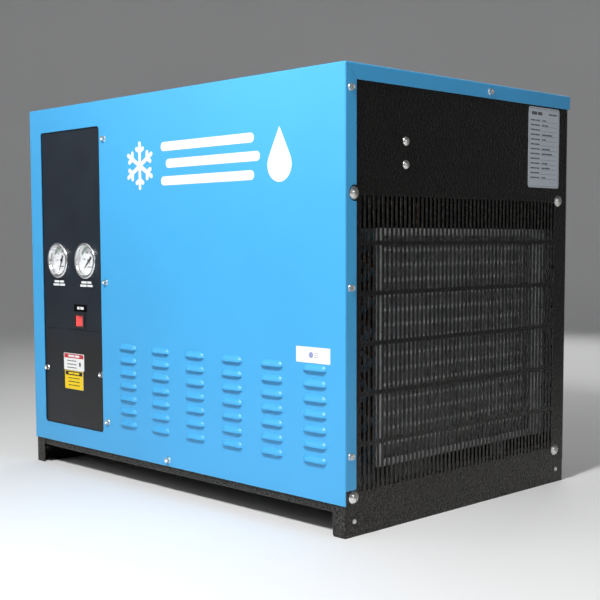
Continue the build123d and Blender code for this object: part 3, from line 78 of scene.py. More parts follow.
# Emblem on the cover: ends, middle height and half height
EMBLEM_LEFT, EMBLEM_RIGHT = -0.094, 0.278
EMBLEM_Z, EMBLEM_HALF = 0.501, 0.037

# Gauges: scale in degrees, and sizes
GAUGE_START, GAUGE_SWEEP = 225.0, 270.0
DIAL_RADIUS = 0.0245
DIAL_DEPTH = 0.0062                         # the dial's face behind the panel
RING_OUTER, RING_INNER = 0.0300, 0.0233
RING_WALL, RING_FOOT = 0.0248, -0.0060      # the ring's sleeve through the panel
TICK_END = 0.0214                           # outer end of the ticks
TICKS_PER_NUMBER = 5
SCALES = ((0, 20, 40, 60, 80, 100, 120), (0, 100, 200, 300, 400, 500))

# Condenser: fins closer together than the CAD's, collars on the CAD's outer column of tubes
FIN_PITCH, FIN_THICKNESS = 0.0026, 0.00025
COLLAR_ROWS, COLLAR_PITCH, COLLAR_RADIUS = 14, 0.0206, 0.0042
COLLAR_INSET = 0.0046                       # outer tube column's axis inside the coil's face

# The photograph's viewpoint
CAMERA_PLACE = (1.3411, -1.2880, 0.3843)
CAMERA_YAW, CAMERA_PITCH, CAMERA_ROLL = 45.83, 4.36, -0.202
CAMERA_SENSOR, CAMERA_LENS = 36.0, 66.73
CAMERA_SHIFT = (0.0104, 0.0439)


# ================================================================ mesh helpers

def box_centre(node):
    low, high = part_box(node)
    return (low + high) / 2


def facing(origin, outward):
    """Matrix of an upright surface: local +Z points outward, +Y up, +X to the reader's right."""
    z = outward.normalized()
    x = UP.cross(z).normalized()
    y = z.cross(x)
    return Matrix.Translation(origin) @ Matrix((x, y, z)).transposed().to_4x4()


def add_piece(name, bm, material, body=CABINET, smooth_angle=None):
    """Turns a bmesh into a piece that rides on a CAD body."""
    bmesh.ops.recalc_face_normals(bm, faces=bm.faces)
    mesh = bpy.data.meshes.new(name)
    bm.to_mesh(mesh)
    bm.free()
    mesh.materials.append(material)
    piece = bpy.data.objects.new(name, mesh)
    bpy.context.scene.collection.objects.link(piece)
    if smooth_angle is not None:
        mesh.polygons.foreach_set("use_smooth", [True] * len(mesh.polygons))
        mesh.set_sharp_from_angle(angle=math.radians(smooth_angle))
    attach(piece, body)
    return piece


def add_prism(bm, outline, matrix, base, top):
    """Closed prism over a counter-clockwise outline of (x, y) on a surface, from base to top."""
    lower = [bm.verts.new(matrix @ Vector((x, y, base))) for x, y in outline]
    upper = [bm.verts.new(matrix @ Vector((x, y, top))) for x, y in outline]
    bm.faces.new(lower[::-1])
    bm.faces.new(upper)
    count = len(outline)
    for i in range(count):
        j = (i + 1) % count
        bm.faces.new((lower[i], lower[j], upper[j], upper[i]))


def add_ring_prism(bm, outer, inner, matrix, base, top):
    """Closed prism between two outlines with the same number of points."""
    loops = []
    for outline in (outer, inner):
        for height in (base, top):
            loops.append([bm.verts.new(matrix @ Vector((x, y, height))) for x, y in outline])
    outer_low, outer_top, inner_low, inner_top = loops
    count = len(outer)
    for i in range(count):
        j = (i + 1) % count
        bm.faces.new((outer_low[i], outer_low[j], outer_top[j], outer_top[i]))
        bm.faces.new((inner_low[j], inner_low[i], inner_top[i], inner_top[j]))
        bm.faces.new((outer_top[i], outer_top[j], inner_top[j], inner_top[i]))
        bm.faces.new((outer_low[j], outer_low[i], inner_low[i], inner_low[j]))


def arc(cx, cy, radius, start, end, steps):
    """Points along an arc, in degrees."""
    angles = [math.radians(start + (end - start) * i / steps) for i in range(steps + 1)]
    return [(cx + radius * math.cos(a), cy + radius * math.sin(a)) for a in angles]


def circle(cx, cy, radius):
    """Outline of a circle."""
    sides = 24
    return arc(cx, cy, radius, 0, 360 - 360 / sides, sides - 1)


def rounded_box(cx, cy, width, height, radius, steps):
    """Outline of a rectangle with round corners."""
    dx, dy = width / 2 - radius, height / 2 - radius
    outline = []
    for sx, sy, start in ((1, 1, 0), (-1, 1, 90), (-1, -1, 180), (1, -1, 270)):
        outline += arc(cx + sx * dx, cy + sy * dy, radius, start, start + 90, steps)
    return outline


def add_lathe(bm, profile, matrix, segments):
    """Spins a closed profile of (radius, height) round local Z."""
    turns = [2 * math.pi * i / segments for i in range(segments)]
    rings = []
    for radius, height in profile:
        places = [Vector((radius * math.cos(t), radius * math.sin(t), height)) for t in turns]
        rings.append([bm.verts.new(matrix @ place) for place in places])
    for k in range(len(rings)):
        a_ring, b_ring = rings[k], rings[(k + 1) % len(rings)]
        for i in range(segments):
            j = (i + 1) % segments
            bm.faces.new((a_ring[i], a_ring[j], b_ring[j], b_ring[i]))


def add_dome(bm, radius, height, matrix):
    """Closed cap: a spherical dome on a flat base."""
    segments, rings = 48, 6
    sphere = (radius ** 2 + height ** 2) / (2 * height)
    top_angle = math.asin(radius / sphere)
    turns = [2 * math.pi * i / segments for i in range(segments)]
    layers = []
    for k in range(rings):
        a = top_angle * (1 - k / rings)
        r = sphere * math.sin(a)
        z = sphere * math.cos(a) - (sphere - height)
        places = [Vector((r * math.cos(t), r * math.sin(t), z)) for t in turns]
        layers.append([bm.verts.new(matrix @ place) for place in places])
    tip = bm.verts.new(matrix @ Vector((0, 0, height)))
    bm.faces.new(layers[0][::-1])
    for low, high in zip(layers, layers[1:]):
        for i in range(segments):
            j = (i + 1) % segments
            bm.faces.new((low[i], low[j], high[j], high[i]))
    for i in range(segments):
        bm.faces.new((layers[-1][i], layers[-1][(i + 1) % segments], tip))


# ================================================================ material helpers

class Graph:
    """A material's node tree, with one short call per node. Texture space is the row frame in metres."""

    def __init__(self, name):
        self.material = bpy.data.materials.new(name)
        self.material.use_nodes = True
        self.tree = self.material.node_tree
        self.tree.nodes.clear()
        self.output = self.node("ShaderNodeOutputMaterial")
        self.shader = self.node("ShaderNodeBsdfPrincipled")
        self.link(self.shader.outputs[0], self.output.inputs["Surface"])
        self.place = self.node("ShaderNodeTexCoord").outputs["Object"]

    def node(self, kind, **settings):
        made = self.tree.nodes.new(kind)
        for key, value in settings.items():
            setattr(made, key, value)
        return made

    def link(self, source, target):
        self.tree.links.new(source, target)

    def feed(self, target, value):
        """Connects a socket, or sets a plain value."""
        if isinstance(value, bpy.types.NodeSocket):
            self.link(value, target)
        else:
            target.default_value = value

    def set(self, **inputs):
        """Sets the shader's inputs; underscores stand for spaces."""
        for key, value in inputs.items():
            self.feed(self.shader.inputs[key.replace("_", " ")], value)

    def stretched(self, scale):
        mapping = self.node("ShaderNodeMapping")
        self.link(self.place, mapping.inputs["Vector"])
        mapping.inputs["Scale"].default_value = scale
        return mapping.outputs[0]

    def noise(self, size, detail=3.0, stretch=None, distortion=0.0):
        """Noise whose features are about `size` metres across."""
        made = self.node("ShaderNodeTexNoise")
        self.link(self.stretched(stretch) if stretch else self.place, made.inputs["Vector"])
        made.inputs["Scale"].default_value = 1.0 / size
        made.inputs["Detail"].default_value = detail
        made.inputs["Distortion"].default_value = distortion
        return made.outputs["Fac"]

    def cells(self, size, feature="F1", output="Distance"):
        made = self.node("ShaderNodeTexVoronoi", feature=feature)
        self.link(self.place, made.inputs["Vector"])
        made.inputs["Scale"].default_value = 1.0 / size
        return made.outputs[output]

    def math(self, operation, a, b=0.0):
        made = self.node("ShaderNodeMath", operation=operation)
        self.feed(made.inputs[0], a)
        self.feed(made.inputs[1], b)
        return made.outputs[0]

    def span(self, value, low, high, to_low=0.0, to_high=1.0):
        """Maps low..high onto to_low..to_high, clamped."""
        made = self.node("ShaderNodeMapRange")
        for key, given in zip(("Value", "From Min", "From Max", "To Min", "To Max"),
                              (value, low, high, to_low, to_high)):
            self.feed(made.inputs[key], given)
        return made.outputs[0]

    def mix(self, share, a, b):
        """Colour a where share is 0 and b where it is 1."""
        made = self.node("ShaderNodeMix", data_type="RGBA")
        self.feed(made.inputs["Factor"], share)
        for socket, colour in ((made.inputs[6], a), (made.inputs[7], b)):
            self.feed(socket, (*colour, 1.0) if isinstance(colour, tuple) else colour)
        return made.outputs[2]

    def bump(self, height, depth, under=None):
        """Bump of `depth` metres; bumps can be stacked by passing the one underneath."""
        made = self.node("ShaderNodeBump")
        made.inputs["Strength"].default_value = 1.0
        made.inputs["Distance"].default_value = depth
        self.link(height, made.inputs["Height"])
        if under is not None:
            self.link(under, made.inputs["Normal"])
        return made.outputs[0]

    def rounded(self, radius):
        """Normal of the surface with its edges rounded off."""
        made = self.node("ShaderNodeBevel", samples=4)
        made.inputs["Radius"].default_value = radius
        return made.outputs[0]

    def edges(self, radius):
        """1 along convex and concave edges, 0 on open faces."""
        plain = self.node("ShaderNodeNewGeometry").outputs["Normal"]
        dot = self.node("ShaderNodeVectorMath", operation="DOT_PRODUCT")
        self.link(self.rounded(radius), dot.inputs[0])
        self.link(plain, dot.inputs[1])
        return self.span(dot.outputs["Value"], 0.995, 0.85)

    def height(self):
        """Height above the floor with the part at rest, in metres."""
        parts = self.node("ShaderNodeSeparateXYZ")
        self.link(self.place, parts.inputs[0])
        return parts.outputs["Z"]


def lighter(colour, factor):
    return tuple(min(1.0, c * factor) for c in colour)


def srgb(red, green, blue):
    """Linear colour from 0..255 display values."""
    def linear(v):
        v /= 255
        return v / 12.92 if v <= 0.04045 else ((v + 0.055) / 1.055) ** 2.4
    return linear(red), linear(green), linear(blue)


# ================================================================ materials

def blue_powder_coat():
    """Blue powder coat: slight orange peel, dust, paler wear along its edges."""
    g = Graph("blue_powder_coat")
    tone = g.mix(g.span(g.noise(0.25, 2), 0.35, 0.65), BLUE, lighter(BLUE, 1.05))
    dust = g.span(g.noise(0.004, 4), 0.62, 0.80, 0.0, 0.10)
    worn = g.math("MULTIPLY", g.edges(0.0012), g.span(g.noise(0.012, 4), 0.48, 0.70, 0.0, 0.35))
    colour = g.mix(worn, g.mix(dust, tone, lighter(BLUE, 1.35)), (0.55, 0.75, 0.90))
    peel = g.bump(g.noise(0.0022, 2), 0.00004, g.rounded(0.0015))
    grain = g.bump(g.noise(0.0005, 2), 0.00001, peel)
    g.set(Base_Color=colour, Roughness=g.span(g.noise(0.05, 5), 0.3, 0.7, 0.37, 0.41), Normal=grain,
          Coat_Weight=0.10, Coat_Roughness=0.25)
    return g.material


def hammered_black():
    """Black hammer paint: rounded dimples about three millimetres across with a light fleck that shows
    more towards the floor, partly metallic fleck and partly a painted reflection of the floor's light;
    worn grey along its edges, the grey partly a painted highlight of light caught on cut edges."""
    g = Graph("hammered_black")
    dimples = g.cells(0.0030, "SMOOTH_F1")
    veins = g.span(g.noise(0.0022, 5, distortion=1.5), 0.44, 0.66)
    # Painted reflection: the light fleck grows towards the floor. It is partly real fleck and partly
    # stands in for the floor's light glinting in the dimples.
    floor_glint_share = g.span(g.height(), 0.06, 0.22, 1.0, 0.08)
    colour = g.mix(g.math("MULTIPLY", veins, floor_glint_share), HAMMER_DARK, HAMMER_FLECK_AND_GLINT)
    cloudy = g.mix(g.span(g.noise(0.09, 3), 0.35, 0.7, 0.0, 0.3), colour, lighter(HAMMER_DARK, 1.5))
    # Painted highlight: the grey along the edges is partly wear and partly stands in for light caught on
    # the cut edges of the grille's slots.
    worn = g.math("MULTIPLY", g.edges(0.0008), g.span(g.noise(0.006, 4), 0.42, 0.60, 0.15, 0.75))
    colour = g.mix(worn, cloudy, (0.24, 0.23, 0.21))
    bumps = g.bump(dimples, 0.0009, g.rounded(0.0006))
    fine = g.bump(g.noise(0.0009, 3), 0.00012, bumps)
    g.set(Base_Color=colour, Roughness=g.span(veins, 0, 1, 0.24, 0.36), Normal=fine,
          Specular_IOR_Level=0.20)
    return g.material


def satin_panel():
    """Satin control panel, with a painted bluish reflection of the sky above and neutral on the lower
    plate.
    """
    g = Graph("satin_panel")
    # Painted reflection: the bluish tint above stands in for the sky's sheen on the satin paint.
    sky_sheen_share = g.span(g.height(), 0.20, 0.27)
    base = g.mix(sky_sheen_share, PLATE_LOW, PLATE_WITH_SKY_SHEEN)
    colour = g.mix(g.span(g.noise(0.06, 4), 0.4, 0.7, 0.0, 0.4), base, lighter(PLATE_WITH_SKY_SHEEN, 1.35))
    grain = g.bump(g.noise(0.0009, 3), 0.00003)
    g.set(Base_Color=colour, Roughness=g.span(g.noise(0.03, 5), 0.3, 0.7, 0.30, 0.40), Normal=grain,
          Specular_IOR_Level=0.28)
    return g.material


def coloured_paint(name, colour, roughness):
    """Brushed or sprayed paint, worn grey along its edges."""
    g = Graph(name)
    tone = g.mix(g.span(g.noise(0.04, 4), 0.35, 0.7), colour, lighter(colour, 1.5))
    worn = g.math("MULTIPLY", g.edges(0.001), g.span(g.noise(0.008, 4), 0.45, 0.65, 0.0, 0.6))
    peel = g.bump(g.noise(0.002, 2), 0.00005)
    g.set(Base_Color=g.mix(worn, tone, (0.30, 0.29, 0.28)), Normal=peel,
          Roughness=g.span(g.noise(0.02, 4), 0.3, 0.7, roughness, roughness + 0.15))
    return g.material


def bright_metal(name, colour, roughness, tarnish):
    """Plated or turned metal: cloudy tarnish, fine scratches, roughness that varies with both."""
    g = Graph(name)
    cloud = g.span(g.noise(0.012, 5), 0.42, 0.68)
    scratches = g.noise(0.0008, 4, stretch=(1.0, 1.0, 0.12))
    spots = g.span(g.noise(0.0025, 4), 0.60, 0.75, 0.0, 0.7)
    colour_out = g.mix(spots, g.mix(cloud, colour, tarnish), lighter(tarnish, 0.7))
    rough = g.span(cloud, 0, 1, roughness, roughness + 0.16)
    g.set(Base_Color=colour_out, Metallic=1.0, Roughness=rough, Normal=g.bump(scratches, 0.00001))
    return g.material


def galvanised_sheet():
    """Zinc-coated sheet with spangle: flat crystals that differ in brightness and gloss."""
    g = Graph("galvanised_sheet")
    crystal = g.cells(0.009, "F1", "Color")
    parts = g.node("ShaderNodeSeparateColor")
    g.link(crystal, parts.inputs[0])
    shade = parts.outputs[0]
    colour = g.mix(shade, (0.56, 0.58, 0.60), (0.78, 0.80, 0.82))
    frost = g.bump(g.noise(0.0009, 3), 0.00002)
    g.set(Base_Color=colour, Metallic=0.5, Roughness=g.span(shade, 0, 1, 0.34, 0.52), Normal=frost)
    return g.material


def fin_aluminium():
    """Thin aluminium with streaks along its height and patches of dust."""
    g = Graph("fin_aluminium")
    streak = g.span(g.noise(0.004, 4, stretch=(1.0, 1.0, 0.15)), 0.35, 0.7)
    dust = g.span(g.noise(0.05, 4), 0.45, 0.75, 0.0, 0.5)
    clean = g.mix(streak, (0.74, 0.76, 0.79), (0.90, 0.91, 0.93))
    colour = g.mix(dust, clean, (0.42, 0.41, 0.40))
    g.set(Base_Color=colour, Metallic=0.7, Roughness=g.span(streak, 0, 1, 0.38, 0.52),
          Normal=g.bump(g.noise(0.0012, 3), 0.00004))
    return g.material


def moulded_plastic(name, colour, roughness):
    """Moulded plastic with a fine grain and paler scuffs along its edges."""
    g = Graph(name)
    tone = g.mix(g.span(g.noise(0.02, 4), 0.35, 0.7), colour, lighter(colour, 1.25))
    scuff = g.math("MULTIPLY", g.edges(0.0006), g.span(g.noise(0.004, 4), 0.45, 0.65, 0.0, 0.4))
    g.set(Base_Color=g.mix(scuff, tone, lighter(colour, 2.2)),
          Normal=g.bump(g.noise(0.0007, 3), 0.00002),
          Roughness=g.span(g.noise(0.01, 4), 0.3, 0.7, roughness, roughness + 0.12))
    return g.material


def foam_insulation():
    """Black closed-cell foam: pores on a lumpy surface."""
    g = Graph("foam_insulation")
    pores = g.cells(0.0018, "F1")
    colour = g.mix(g.span(g.noise(0.03, 4), 0.35, 0.7), (0.012, 0.012, 0.013), (0.035, 0.034, 0.033))
    lumps = g.bump(g.noise(0.02, 4), 0.001)
    g.set(Base_Color=colour, Roughness=0.85, Normal=g.bump(pores, 0.0003, lumps))
    return g.material


def rubber():
    """Matt black rubber with a grey bloom."""
    g = Graph("rubber")
    bloom = g.span(g.noise(0.008, 5), 0.45, 0.7, 0.0, 0.5)
    g.set(Base_Color=g.mix(bloom, (0.012, 0.012, 0.012), (0.05, 0.048, 0.045)), Roughness=0.75,
          Normal=g.bump(g.noise(0.0012, 4), 0.00005))
    return g.material


def printed(name, colour, roughness=0.35, specular=0.5):
    """Vinyl or printed ink: slight mottling, a faint wave from being stuck down by hand."""
    g = Graph(name)
    tone = g.mix(g.span(g.noise(0.006, 5), 0.40, 0.75, 0.0, 0.5), colour, lighter(colour, 0.90))
    wave = g.bump(g.noise(0.02, 2), 0.00008)
    g.set(Base_Color=tone, Roughness=g.span(g.noise(0.01, 4), 0.3, 0.7, roughness, roughness + 0.1),
          Normal=wave, Specular_IOR_Level=specular)
    return g.material


def brushed_plate():
    """Data plate: metal brushed along its width."""
    g = Graph("brushed_plate")
    brush = g.noise(0.0006, 4, stretch=(1.0, 0.05, 1.0))
    colour = g.mix(g.span(brush, 0.3, 0.7), (0.54, 0.60, 0.66), (0.66, 0.72, 0.78))
    g.set(Base_Color=colour, Metallic=0.25, Roughness=g.span(brush, 0.3, 0.7, 0.38, 0.52),
          Normal=g.bump(brush, 0.00001))
    return g.material


def window_glass():
    """Flat gauge window: clear, with a reflection and a faint bloom of dust."""
    g = Graph("window_glass")
    clear = g.node("ShaderNodeBsdfTransparent")
    shine = g.node("ShaderNodeBsdfGlossy")
    shine.inputs["Roughness"].default_value = 0.03
    g.link(g.bump(g.noise(0.01, 2), 0.00003), shine.inputs["Normal"])
    fresnel = g.node("ShaderNodeFresnel")
    fresnel.inputs["IOR"].default_value = 1.5
    dust = g.span(g.noise(0.004, 4), 0.5, 0.8, 0.0, 0.03)
    outside = g.math("SUBTRACT", 1.0, g.node("ShaderNodeNewGeometry").outputs["Backfacing"])
    share = g.math("MULTIPLY", outside, g.math("ADD", fresnel.outputs[0], dust))
    blend = g.node("ShaderNodeMixShader")
    g.link(share, blend.inputs[0])
    g.link(clear.outputs[0], blend.inputs[1])
    g.link(shine.outputs[0], blend.inputs[2])
    g.tree.nodes.remove(g.shader)
    g.link(blend.outputs[0], g.output.inputs["Surface"])
    return g.material


def floor_paper():
    """Pale studio paper."""
    g = Graph("floor_paper")
    colour = g.mix(g.span(g.noise(1.2, 3), 0.35, 0.7), (0.80, 0.80, 0.80), (0.84, 0.84, 0.84))
    g.set(Base_Color=colour, Roughness=0.8, Normal=g.bump(g.noise(0.002, 3), 0.00005))
    return g.material


# Paints that a material mixes from
BLUE = srgb(66, 166, 223)
HAMMER_DARK = (0.0066, 0.0064, 0.0060)
# Light fleck of the hammer paint, partly a painted reflection of the floor's light
HAMMER_FLECK_AND_GLINT = (0.084, 0.079, 0.069)
# Panel colour with a painted bluish reflection of the sky
PLATE_WITH_SKY_SHEEN = srgb(31, 38, 47)
PLATE_LOW = srgb(36, 36, 36)

# Shared materials, made once
CHROME = bright_metal("chrome_plate", (0.86, 0.87, 0.88), 0.07, (0.78, 0.79, 0.80))
ZINC = bright_metal("zinc_plate", (0.80, 0.80, 0.78), 0.26, (0.64, 0.63, 0.58))
STEEL = bright_metal("pipe_steel", (0.40, 0.40, 0.39), 0.38, (0.27, 0.26, 0.25))
COPPER = bright_metal("copper_tube", (0.74, 0.38, 0.24), 0.24, (0.44, 0.20, 0.12))
BRASS = bright_metal("brass", (0.78, 0.60, 0.30), 0.26, (0.52, 0.38, 0.18))
ALUMINIUM = bright_metal("cast_aluminium", (0.66, 0.67, 0.68), 0.36, (0.48, 0.48, 0.49))
DULL_COPPER = bright_metal("dull_copper", (0.20, 0.11, 0.075), 0.45, (0.10, 0.06, 0.045))
COLLAR_ALUMINIUM = bright_metal("collar_aluminium", (0.97, 0.97, 0.98), 0.36, (0.90, 0.91, 0.92))
RING_CHROME = bright_metal("ring_chrome", (0.94, 0.94, 0.95), 0.18, (0.86, 0.87, 0.88))
WHITE_PRINT = printed("white_print", (0.82, 0.83, 0.84))
WHITE_VINYL = printed("white_vinyl", (0.86, 0.86, 0.85))
GREY_PRINT = printed("grey_print", (0.10, 0.10, 0.11), 0.45)
BLACK_PRINT = printed("black_print", (0.012, 0.012, 0.012), 0.40)
DEEP_BLACK = printed("deep_black", (0.002, 0.002, 0.002), 0.5, specular=0.05)
RED_PRINT = printed("red_print", (0.55, 0.035, 0.04))
GREEN_PRINT = printed("green_print", (0.03, 0.30, 0.08))
YELLOW_VINYL = printed("yellow_vinyl", (0.92, 0.64, 0.004))
FADED_BLUE = printed("faded_blue", (0.28, 0.32, 0.55))
FADED_GREY = printed("faded_grey", (0.45, 0.44, 0.48))
DIAL_WHITE = printed("dial_white", (0.88, 0.89, 0.90), 0.50)

SLOT_MATERIALS = {
    "blue_paint": blue_powder_coat(),
    "black_paint": hammered_black(),
    "panel_paint": satin_panel(),
    "grey_paint": coloured_paint("motor_grey", (0.20, 0.21, 0.22), 0.35),
    "compressor_paint": coloured_paint("compressor_black", (0.014, 0.014, 0.015), 0.22),
    "zinc": ZINC,
    "galvanised": galvanised_sheet(),
    "pipe_steel": STEEL,
    "chrome": CHROME,
    "dial_white": DIAL_WHITE,
    "lens": window_glass(),
    "pointer_black": coloured_paint("pointer_black", (0.012, 0.012, 0.012), 0.35),
    "switch_black": moulded_plastic("switch_black", (0.016, 0.016, 0.017), 0.34),
    "switch_red": moulded_plastic("switch_red", (0.82, 0.080, 0.075), 0.26),
    "tag_white": WHITE_PRINT,
    "sticker_white": WHITE_VINYL,
    "nameplate_metal": brushed_plate(),
    "fin_aluminium": fin_aluminium(),
    "copper": COPPER,
    "brass": BRASS,
    "core_iron": coloured_paint("core_iron", (0.10, 0.10, 0.10), 0.6),
    "rubber": rubber(),
    "insulation": foam_insulation(),
    "moulded_black": moulded_plastic("moulded_black", (0.020, 0.020, 0.022), 0.42),
    "moulded_grey": moulded_plastic("moulded_grey", (0.34, 0.35, 0.36), 0.40),
    "cable": moulded_plastic("cable_sheath", (0.015, 0.015, 0.016), 0.48),
    "fan_metal": ALUMINIUM,
    "button_red": moulded_plastic("button_red", (0.55, 0.03, 0.02), 0.28),
    "capacitor_can": ALUMINIUM,
}

# Nodes that have aged differently from the rest of their slot
NODE_MATERIALS = {"condenser_tubes": DULL_COPPER}


def dress_cad_nodes():
    """Every CAD node takes the material of its slot, unless NODE_MATERIALS names its own."""
    for entry in frame["record"]["subparts"]:
        name, slot_name = entry["node"], entry["material_slot"]
        node = NODES[name]
        node.data.materials.clear()
        node.data.materials.append(NODE_MATERIALS.get(name, SLOT_MATERIALS[slot_name]))


# ================================================================ front emblem, prints and tags

def snowflake(bm, face, cx, cy, radius, stroke, base, top):
    """Six round-ended arms, each with one pair of branches. Strokes that cross differ in height."""
    def stroke_bar(x0, y0, angle, length, layer):
        turn = face @ Matrix.Translation((x0, y0, 0)) @ Matrix.Rotation(math.radians(angle), 4, "Z")
        bar = rounded_box(length / 2, 0, length + stroke, stroke, stroke / 2 - 0.00005, 6)
        add_prism(bm, bar, turn, base, top + layer * OVERLAP_STEP)

    arms, arm_angle = 6, 60
    branch_root, branch_length = radius * 0.58, radius * 0.24
    for arm in range(arms):
        angle = 90 + arm_angle * arm
        a = math.radians(angle)
        stroke_bar(cx, cy, angle, radius - stroke / 2, arm)
        root_x, root_y = cx + branch_root * math.cos(a), cy + branch_root * math.sin(a)
        for layer, turn in ((arms, -arm_angle), (arms + 1, arm_angle)):
            stroke_bar(root_x, root_y, angle + turn, branch_length, layer)


def emblem():
    """A snowflake, three bars of flowing air and a drop: a plain pictogram in white print."""
    face = facing((0, COVER_FACE, 0), FRONT)
    base, top = SKIM, 0.00012
    stroke, gap, drop_room = 0.0066, 0.016, 0.062
    bar, bar_pitch, stagger = 0.0135, 0.0255, 0.006
    bm = bmesh.new()
    snowflake(bm, face, EMBLEM_LEFT + EMBLEM_HALF, EMBLEM_Z, EMBLEM_HALF, stroke, base, top)
    start = EMBLEM_LEFT + 2 * EMBLEM_HALF + gap
    end = EMBLEM_RIGHT - drop_room
    length = end - start - 2 * stagger
    for row, shift in ((-1, -stagger), (0, stagger), (1, -stagger)):
        middle = (start + end) / 2 + shift
        outline = rounded_box(middle, EMBLEM_Z + row * bar_pitch, length, bar, bar / 2 - 0.0001, 8)
        add_prism(bm, outline, face, base, top)
    drop_radius = 0.0235
    drop_x, drop_z = EMBLEM_RIGHT - drop_radius, EMBLEM_Z - EMBLEM_HALF + drop_radius
    tip = (drop_x, EMBLEM_Z + EMBLEM_HALF)
    tangent = 152                           # where the drop's straight side meets its round, in degrees
    drop = [tip] + arc(drop_x, drop_z, drop_radius, tangent, 540 - tangent, 40)
    add_prism(bm, drop, face, base, top)
    piece = add_piece("front_emblem", bm, WHITE_PRINT)


def bars(bm, face, x0, x1, y, height, words, base, top):
    """A row of short bars that stands for a line of print. words are the shares of the row's length."""
    gap = height * 0.45
    total = sum(words)
    usable = (x1 - x0) - gap * (len(words) - 1)
    x = x0
    for word in words:
        width = usable * word / total
        add_prism(bm, rounded_box(x + width / 2, y, width, height, height * 0.2, 2), face, base, top)
        x += width + gap


def print_layer(name, material, draw):
    """One colour of print as its own thin piece."""
    bm = bmesh.new()
    draw(bm)
    piece = add_piece(name, bm, material)


def notice_prints():
    """The two notices on the control panel, printed as bands and bars."""
    face = facing((0, PLATE_FACE - VINYL, 0), FRONT)
    mid = -0.2535                           # both notices' middle
    band_z, header_z = 0.1932, 0.1640       # heights of the red band and of the black header
    first, second, third = 0.00004, 0.0001, 0.00015     # tops of prints that lie on each other

    def ink(bm, x, z, width, height, radius):
        add_prism(bm, rounded_box(x, z, width, height, radius, 2), face, SKIM, INK)

    def yellow(bm):
        add_prism(bm, rounded_box(mid, 0.1528, 0.0548, 0.0312, 0.001, 3), face, 0.00001, first)

    def red(bm):
        ink(bm, mid + 0.0005, band_z, 0.0575, 0.0072, 0.0004)

    def black(bm):
        base = first + 0.00001
        add_prism(bm, rounded_box(mid, header_z, 0.0500, 0.0068, 0.0008, 2), face, base, second)
        for z, words in ((0.1558, (5, 3, 6)), (0.1498, (7, 4)), (0.1438, (4, 6, 3))):
            bars(bm, face, mid - 0.017, mid + 0.017, z, 0.0014, words, base, second)

    def grey(bm):
        for z, words in ((0.1850, (4, 5)), (0.1790, (6, 3)), (0.1735, (3, 5, 2))):
            bars(bm, face, mid - 0.020, mid + 0.008, z, 0.0015, words, SKIM, INK)
        ink(bm, mid + 0.0185, 0.1800, 0.0055, 0.0075, 0.002)

    def header_bars(bm):
        bars(bm, face, mid - 0.016, mid + 0.017, band_z, 0.0034, (5, 4), INK, second)

    def header_bars_low(bm):
        bars(bm, face, mid - 0.016, mid + 0.016, header_z, 0.0032, (4, 5), second + 0.00001, third)

    print_layer("notice_yellow", YELLOW_VINYL, yellow)
    print_layer("notice_red_band", RED_PRINT, red)
    print_layer("notice_black_print", BLACK_PRINT, black)
    print_layer("notice_grey_print", GREY_PRINT, grey)
    print_layer("notice_band_bars", WHITE_PRINT, header_bars)
    print_layer("notice_yellow_bars", YELLOW_VINYL, header_bars_low)


def strip_prints():
    """A faded dot and three rows of bars on the white strip above the louvers."""
    strip = facing((0.317, COVER_FACE - VINYL, 0.2355), FRONT)
    row_pitch = 0.0028

    def dot(bm):
        add_prism(bm, circle(-0.0035, 0, 0.0040), strip, SKIM, INK)

    def dot_bars(bm):
        for row in (-1, 0, 1):
            bars(bm, strip, 0.0025, 0.0095, row * row_pitch, 0.0012, (3, 2), SKIM, INK)

    print_layer("strip_dot", FADED_BLUE, dot)
    print_layer("strip_bars", FADED_GREY, dot_bars)


def name_tags():
    """White bars under the gauges, on film the colour of the panel, and on a black strip above
    the switch."""
    face = facing((0, PLATE_FACE, 0), FRONT)
    clear, tags, prints = bmesh.new(), bmesh.new(), bmesh.new()
    top = VINYL + INK
    gauge_tag_z, switch_tag_z = 0.3155, 0.275
    tag_height, letter_height = 0.012, 0.0036
    gauge_low, gauge_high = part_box("gauge_dials")
    for x in (gauge_low.x + DIAL_RADIUS, gauge_high.x - DIAL_RADIUS):
        add_prism(clear, rounded_box(x, gauge_tag_z, 0.042, tag_height, 0.001, 3), face, 0, VINYL)
        for z, half, words in ((0.3182, 0.0145, (5, 4)), (0.3128, 0.018, (6, 5))):
            bars(prints, face, x - half, x + half, z, letter_height, words, VINYL, top)
    switch = box_centre("rocker_housing")
    outline = rounded_box(switch.x + 0.0025, switch_tag_z, 0.0385, tag_height, 0.001, 3)
    add_prism(tags, outline, face, 0, VINYL)
    bars(prints, face, switch.x - 0.007, switch.x + 0.012, switch_tag_z, 0.0045, (3, 4), VINYL, top)
    film = add_piece("name_tag_films", clear, SLOT_MATERIALS["panel_paint"])
    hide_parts("name_tags")
    strip = add_piece("name_tag_strip", tags, DEEP_BLACK)
    lettering = add_piece("name_tag_bars", prints, WHITE_PRINT)


